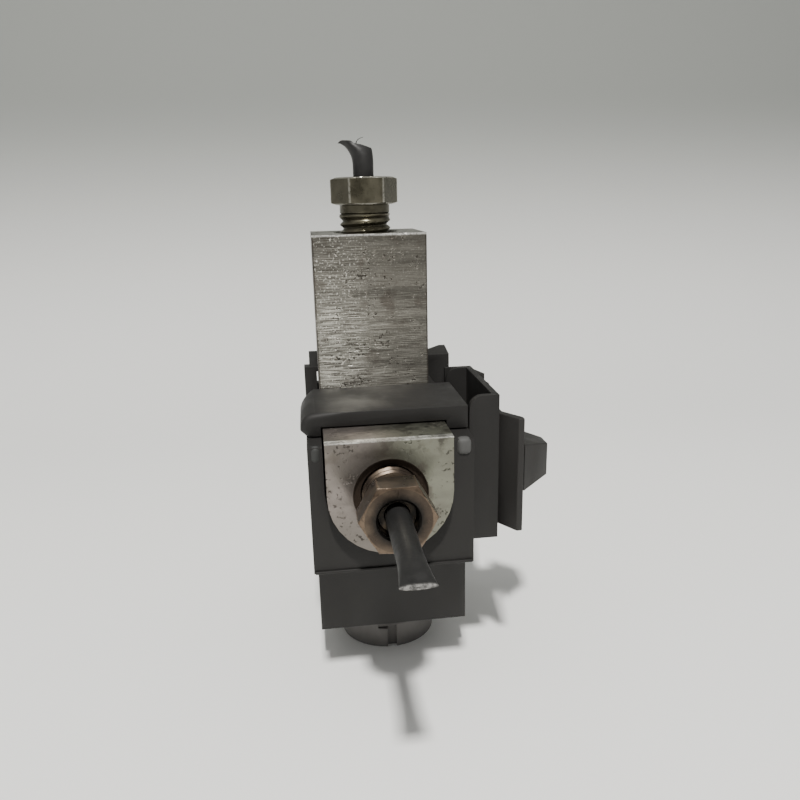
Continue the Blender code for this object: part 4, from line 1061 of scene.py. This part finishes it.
stainless, tree, shader, place = new_finish("drawn_stainless", 0.95, 0.26)
streaks = grain(tree, place, 1.0, 3, (500, 500, 4200))
clouds = grain(tree, place, 260, 3)
share = steps_between(tree, clouds, 0.35, 0.65)
colour = blend_colours(tree, share, (0.56, 0.56, 0.55), (0.66, 0.66, 0.65))
set_look(tree, shader, colour, steps_between(tree, clouds, 0.3, 0.7, 0.22, 0.34))
raise_surface(tree, shader, streaks, 0.00002, 0.35)

shank_top = screw_high.z - screw_low.z - HEAD_HEIGHT
thread = grow(
    "screw_thread",
    rolled_thread,
    stainless,
    Radius=SCREW_THREAD,
    Depth=0.25 * MM,
    Pitch=0.5 * MM,
    Tip=0.0,
    End=shank_top,
    Bore=0.6 * MM,
    Sides=24,
    Rows=220,
)
rim = 0.25 * MM
head_profile = [
    (0.3 * MM, 0.02 * MM),
    (0.3 * MM, 0.7 * MM),
    (shank_top - 0.1 * MM, 0.9 * MM),
    (shank_top, HEAD_RADIUS - rim),
    (shank_top + rim, HEAD_RADIUS),
    (shank_top + HEAD_HEIGHT - 0.6 * MM, HEAD_RADIUS),
    (shank_top + HEAD_HEIGHT - 0.2 * MM, HEAD_RADIUS - 0.3 * MM),
    (shank_top + HEAD_HEIGHT, HEAD_RADIUS - 0.7 * MM),
    (shank_top + HEAD_HEIGHT, 1.1 * MM),
    (shank_top + HEAD_HEIGHT - 0.1 * MM, 1.0 * MM),
    (shank_top + HEAD_HEIGHT - 1.2 * MM, 1.0 * MM),
    (shank_top + HEAD_HEIGHT - 1.2 * MM, 0.02 * MM),
]
screw = as_object("one_screw", join_shapes(spun(head_profile, sides=48), thread), stainless)
smooth(screw, 30)

tree, given = geometry_tree("screws_in_a_square", Along_X=16 * MM, Along_Y=23 * MM)
sizes = {"Size_X": given["Along X"], "Size_Y": given["Along Y"]}
corners = add_node(tree, "GeometryNodeMeshGrid", Vertices_X=2, Vertices_Y=2, **sizes)
pattern = add_node(tree, "GeometryNodeObjectInfo", Object=screw)
pattern.inputs["As Instance"].default_value = True
placed = add_node(
    tree,
    "GeometryNodeInstanceOnPoints",
    Points=corners.outputs["Mesh"],
    Instance=pattern.outputs["Geometry"],
)
close_tree(tree, given, placed.outputs[0])
shape = grow(
    "screw_set", tree, stainless, Along_X=far_low.x - screw_low.x, Along_Y=far_low.y - screw_low.y
)
set_middle = (screw_low + far_high) / 2
shape.transform(Matrix.Translation((set_middle.x, set_middle.y, screw_low.z)))
bpy.data.objects.remove(screw)
screws = as_object("housing_screws", shape, stainless)
smooth(screws, 30)
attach(screws, "valve")
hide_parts("housing_screw_1", "housing_screw_2", "housing_screw_3", "housing_screw_4")


# ---- Coil winding
# Enamelled copper wire in layers on the bobbin. Only the outer layer shows, so it is wound turn by
# turn, over a plain ring that stands for the layers below.

WIRE = 0.42 * MM
copper, tree, shader, place = new_finish("enamelled_copper", 0.9, 0.3)
shade = grain(tree, place, 700, 3)
share = steps_between(tree, shade, 0.35, 0.65)
colour = blend_colours(tree, share, (0.62, 0.24, 0.09), (0.44, 0.15, 0.06))
set_look(tree, shader, colour)
shader.inputs["Coat Weight"].default_value = 0.6
raise_surface(tree, shader, grain(tree, place, 2500, 2), 0.00002, 0.3)

winding_low, winding_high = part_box("coil_winding")
winding_radius = (winding_high.x - winding_low.x) / 2
winding_height = winding_high.z - winding_low.z
inner_radius = 7.33 * MM
tree, given = geometry_tree(
    "wound_wire", Radius=9 * MM, Inner_radius=7 * MM, Height=12 * MM, Wire=WIRE, Turns=30.0
)
half_wire = times(tree, given["Wire"], 0.5)
path_radius = maths(tree, "SUBTRACT", given["Radius"], half_wire)
rise = maths(tree, "SUBTRACT", given["Height"], given["Wire"])
helix = add_node(
    tree,
    "GeometryNodeCurveSpiral",
    Resolution=40,
    Rotations=given["Turns"],
    Start_Radius=path_radius,
    End_Radius=path_radius,
    Height=rise,
)
helix.inputs["Reverse"].default_value = False
section = add_node(tree, "GeometryNodeCurvePrimitiveCircle", Resolution=8, Radius=half_wire)
wire = add_node(
    tree, "GeometryNodeCurveToMesh", Curve=helix.outputs[0], Profile_Curve=section.outputs[0]
)
wire.inputs["Fill Caps"].default_value = True
lift = add_node(tree, "ShaderNodeCombineXYZ", Z=half_wire).outputs[0]
lifted = add_node(tree, "GeometryNodeTransform", Geometry=wire.outputs[0], Translation=lift)
ring_outside = maths(tree, "SUBTRACT", given["Radius"], given["Wire"])
ring_middle = times(tree, maths(tree, "ADD", ring_outside, given["Inner radius"]), 0.5)
ring_path = add_node(tree, "GeometryNodeCurvePrimitiveCircle", Resolution=72, Radius=ring_middle)
ring_section = add_node(
    tree,
    "GeometryNodeCurvePrimitiveQuadrilateral",
    Width=maths(tree, "SUBTRACT", ring_outside, given["Inner radius"]),
    Height=rise,
)
ring = add_node(
    tree,
    "GeometryNodeCurveToMesh",
    Curve=ring_path.outputs[0],
    Profile_Curve=ring_section.outputs[0],
)
lift = add_node(tree, "ShaderNodeCombineXYZ", Z=times(tree, given["Height"], 0.5)).outputs[0]
centred = add_node(tree, "GeometryNodeTransform", Geometry=ring.outputs[0], Translation=lift)
close_tree(tree, given, lifted.outputs[0], centred.outputs[0])
shape = grow(
    "winding",
    tree,
    copper,
    Radius=winding_radius,
    Inner_radius=inner_radius,
    Height=winding_height,
    Wire=WIRE,
    Turns=(winding_height - WIRE) / WIRE,
)
winding_middle = (winding_low + winding_high) / 2
shape.transform(Matrix.Translation((winding_middle.x, winding_middle.y, winding_low.z)))
winding = as_object("wound_coil", shape, copper)
smooth(winding, 45)
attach(winding, "valve")
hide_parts("coil_winding")


# ---- Seals
# Nitrile rubber rings and seal discs, moulded and slightly greasy. The rings are turned finely
# here, and the two discs in the plunger keep their CAD shape.

rubber, tree, shader, place = new_finish("black_rubber", 0.0, 0.62)
bloom = grain(tree, place, 900, 4)
colour = blend_colours(tree, bloom, (0.014, 0.014, 0.015), (0.034, 0.034, 0.035))
set_look(tree, shader, colour, steps_between(tree, bloom, 0.3, 0.7, 0.5, 0.72))
raise_surface(tree, shader, grain(tree, place, 3000, 2), 0.00002, 0.4)
paint(rubber, "exhaust_seal", "supply_seal")

rings = {"chamber_o_ring": "valve"}
for port in port_places:
    rings[f"{port}_line_seal"] = f"{port}_line_set"
    rings[f"{port}_port_seal"] = f"{port}_line_set"
for name, body in rings.items():
    low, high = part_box(name)
    size = high - low
    thin = min(range(3), key=lambda axis: size[axis])
    wire_radius = size[thin] / 2
    ring_radius = max(size) / 2 - wire_radius
    angles = [2 * math.pi * i / 24 for i in range(24)]
    section = [(wire_radius * math.sin(a), ring_radius + wire_radius * math.cos(a)) for a in angles]
    shape = spun(section)
    turn = Matrix.Rotation(math.pi / 2, 4, "X") if thin == 1 else Matrix.Identity(4)
    shape.transform(Matrix.Translation((low + high) / 2) @ turn)
    o_ring = as_object(f"{name}_moulded", shape, rubber)
    o_ring.data.shade_smooth()
    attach(o_ring, body)
    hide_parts(name)


# ---- Magnet and plunger
# The steel yoke, washer and fixed core, the drawn tube, the plunger, the bobbin and the suppressor
# resistor keep their CAD shapes, and each gets its own finish.

soft_steel, tree, shader, place = new_finish("soft_steel", 0.92, 0.4)
scale_marks = grain(tree, place, 300, 5)
share = steps_between(tree, scale_marks, 0.35, 0.65)
colour = blend_colours(tree, share, (0.36, 0.36, 0.37), (0.48, 0.48, 0.48))
set_look(tree, shader, colour, steps_between(tree, scale_marks, 0.3, 0.7, 0.34, 0.5))
raise_surface(tree, shader, grain(tree, place, 1.0, 3, (2600, 400, 400)), 0.00003, 0.4)
paint(soft_steel, "flux_yoke", "flux_washer", "fixed_core")
paint(stainless, "armature_tube", "plunger")

spring = as_object("return_spring", nodes["plunger_spring"].data.copy(), stainless)
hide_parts("plunger_spring")
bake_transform(spring)

natural, tree, shader, place = new_finish("natural_nylon", 0.0, 0.48)
flow = grain(tree, place, 240, 4)
colour = blend_colours(tree, flow, (0.50, 0.46, 0.37), (0.62, 0.59, 0.50))
set_look(tree, shader, colour)
shader.inputs["Subsurface Weight"].default_value = 0.08
raise_surface(tree, shader, grain(tree, place, 2600, 2), 0.00002, 0.4)
paint(natural, "coil_bobbin")

ceramic, tree, shader, place = new_finish("banded_resistor", 0.0, 0.45)
resistor_middle = sum(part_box("suppressor_resistor"), Vector()) / 2
along = maths(tree, "SUBTRACT", coordinates(tree, place)["Y"], resistor_middle.y)
colour = blend_colours(tree, grain(tree, place, 800, 3), (0.26, 0.38, 0.46), (0.34, 0.47, 0.55))
for offset, band in (
    (-1.2 * MM, (0.20, 0.07, 0.02)),
    (-0.5 * MM, (0.012, 0.012, 0.012)),
    (0.2 * MM, (0.45, 0.06, 0.03)),
):
    near = steps_between(tree, apart(tree, along, offset), 0.22 * MM, 0.15 * MM)
    colour = blend_colours(tree, near, colour, band)
set_look(tree, shader, colour)
raise_surface(tree, shader, grain(tree, place, 2000, 2), 0.00003, 0.3)
paint(ceramic, "suppressor_resistor")
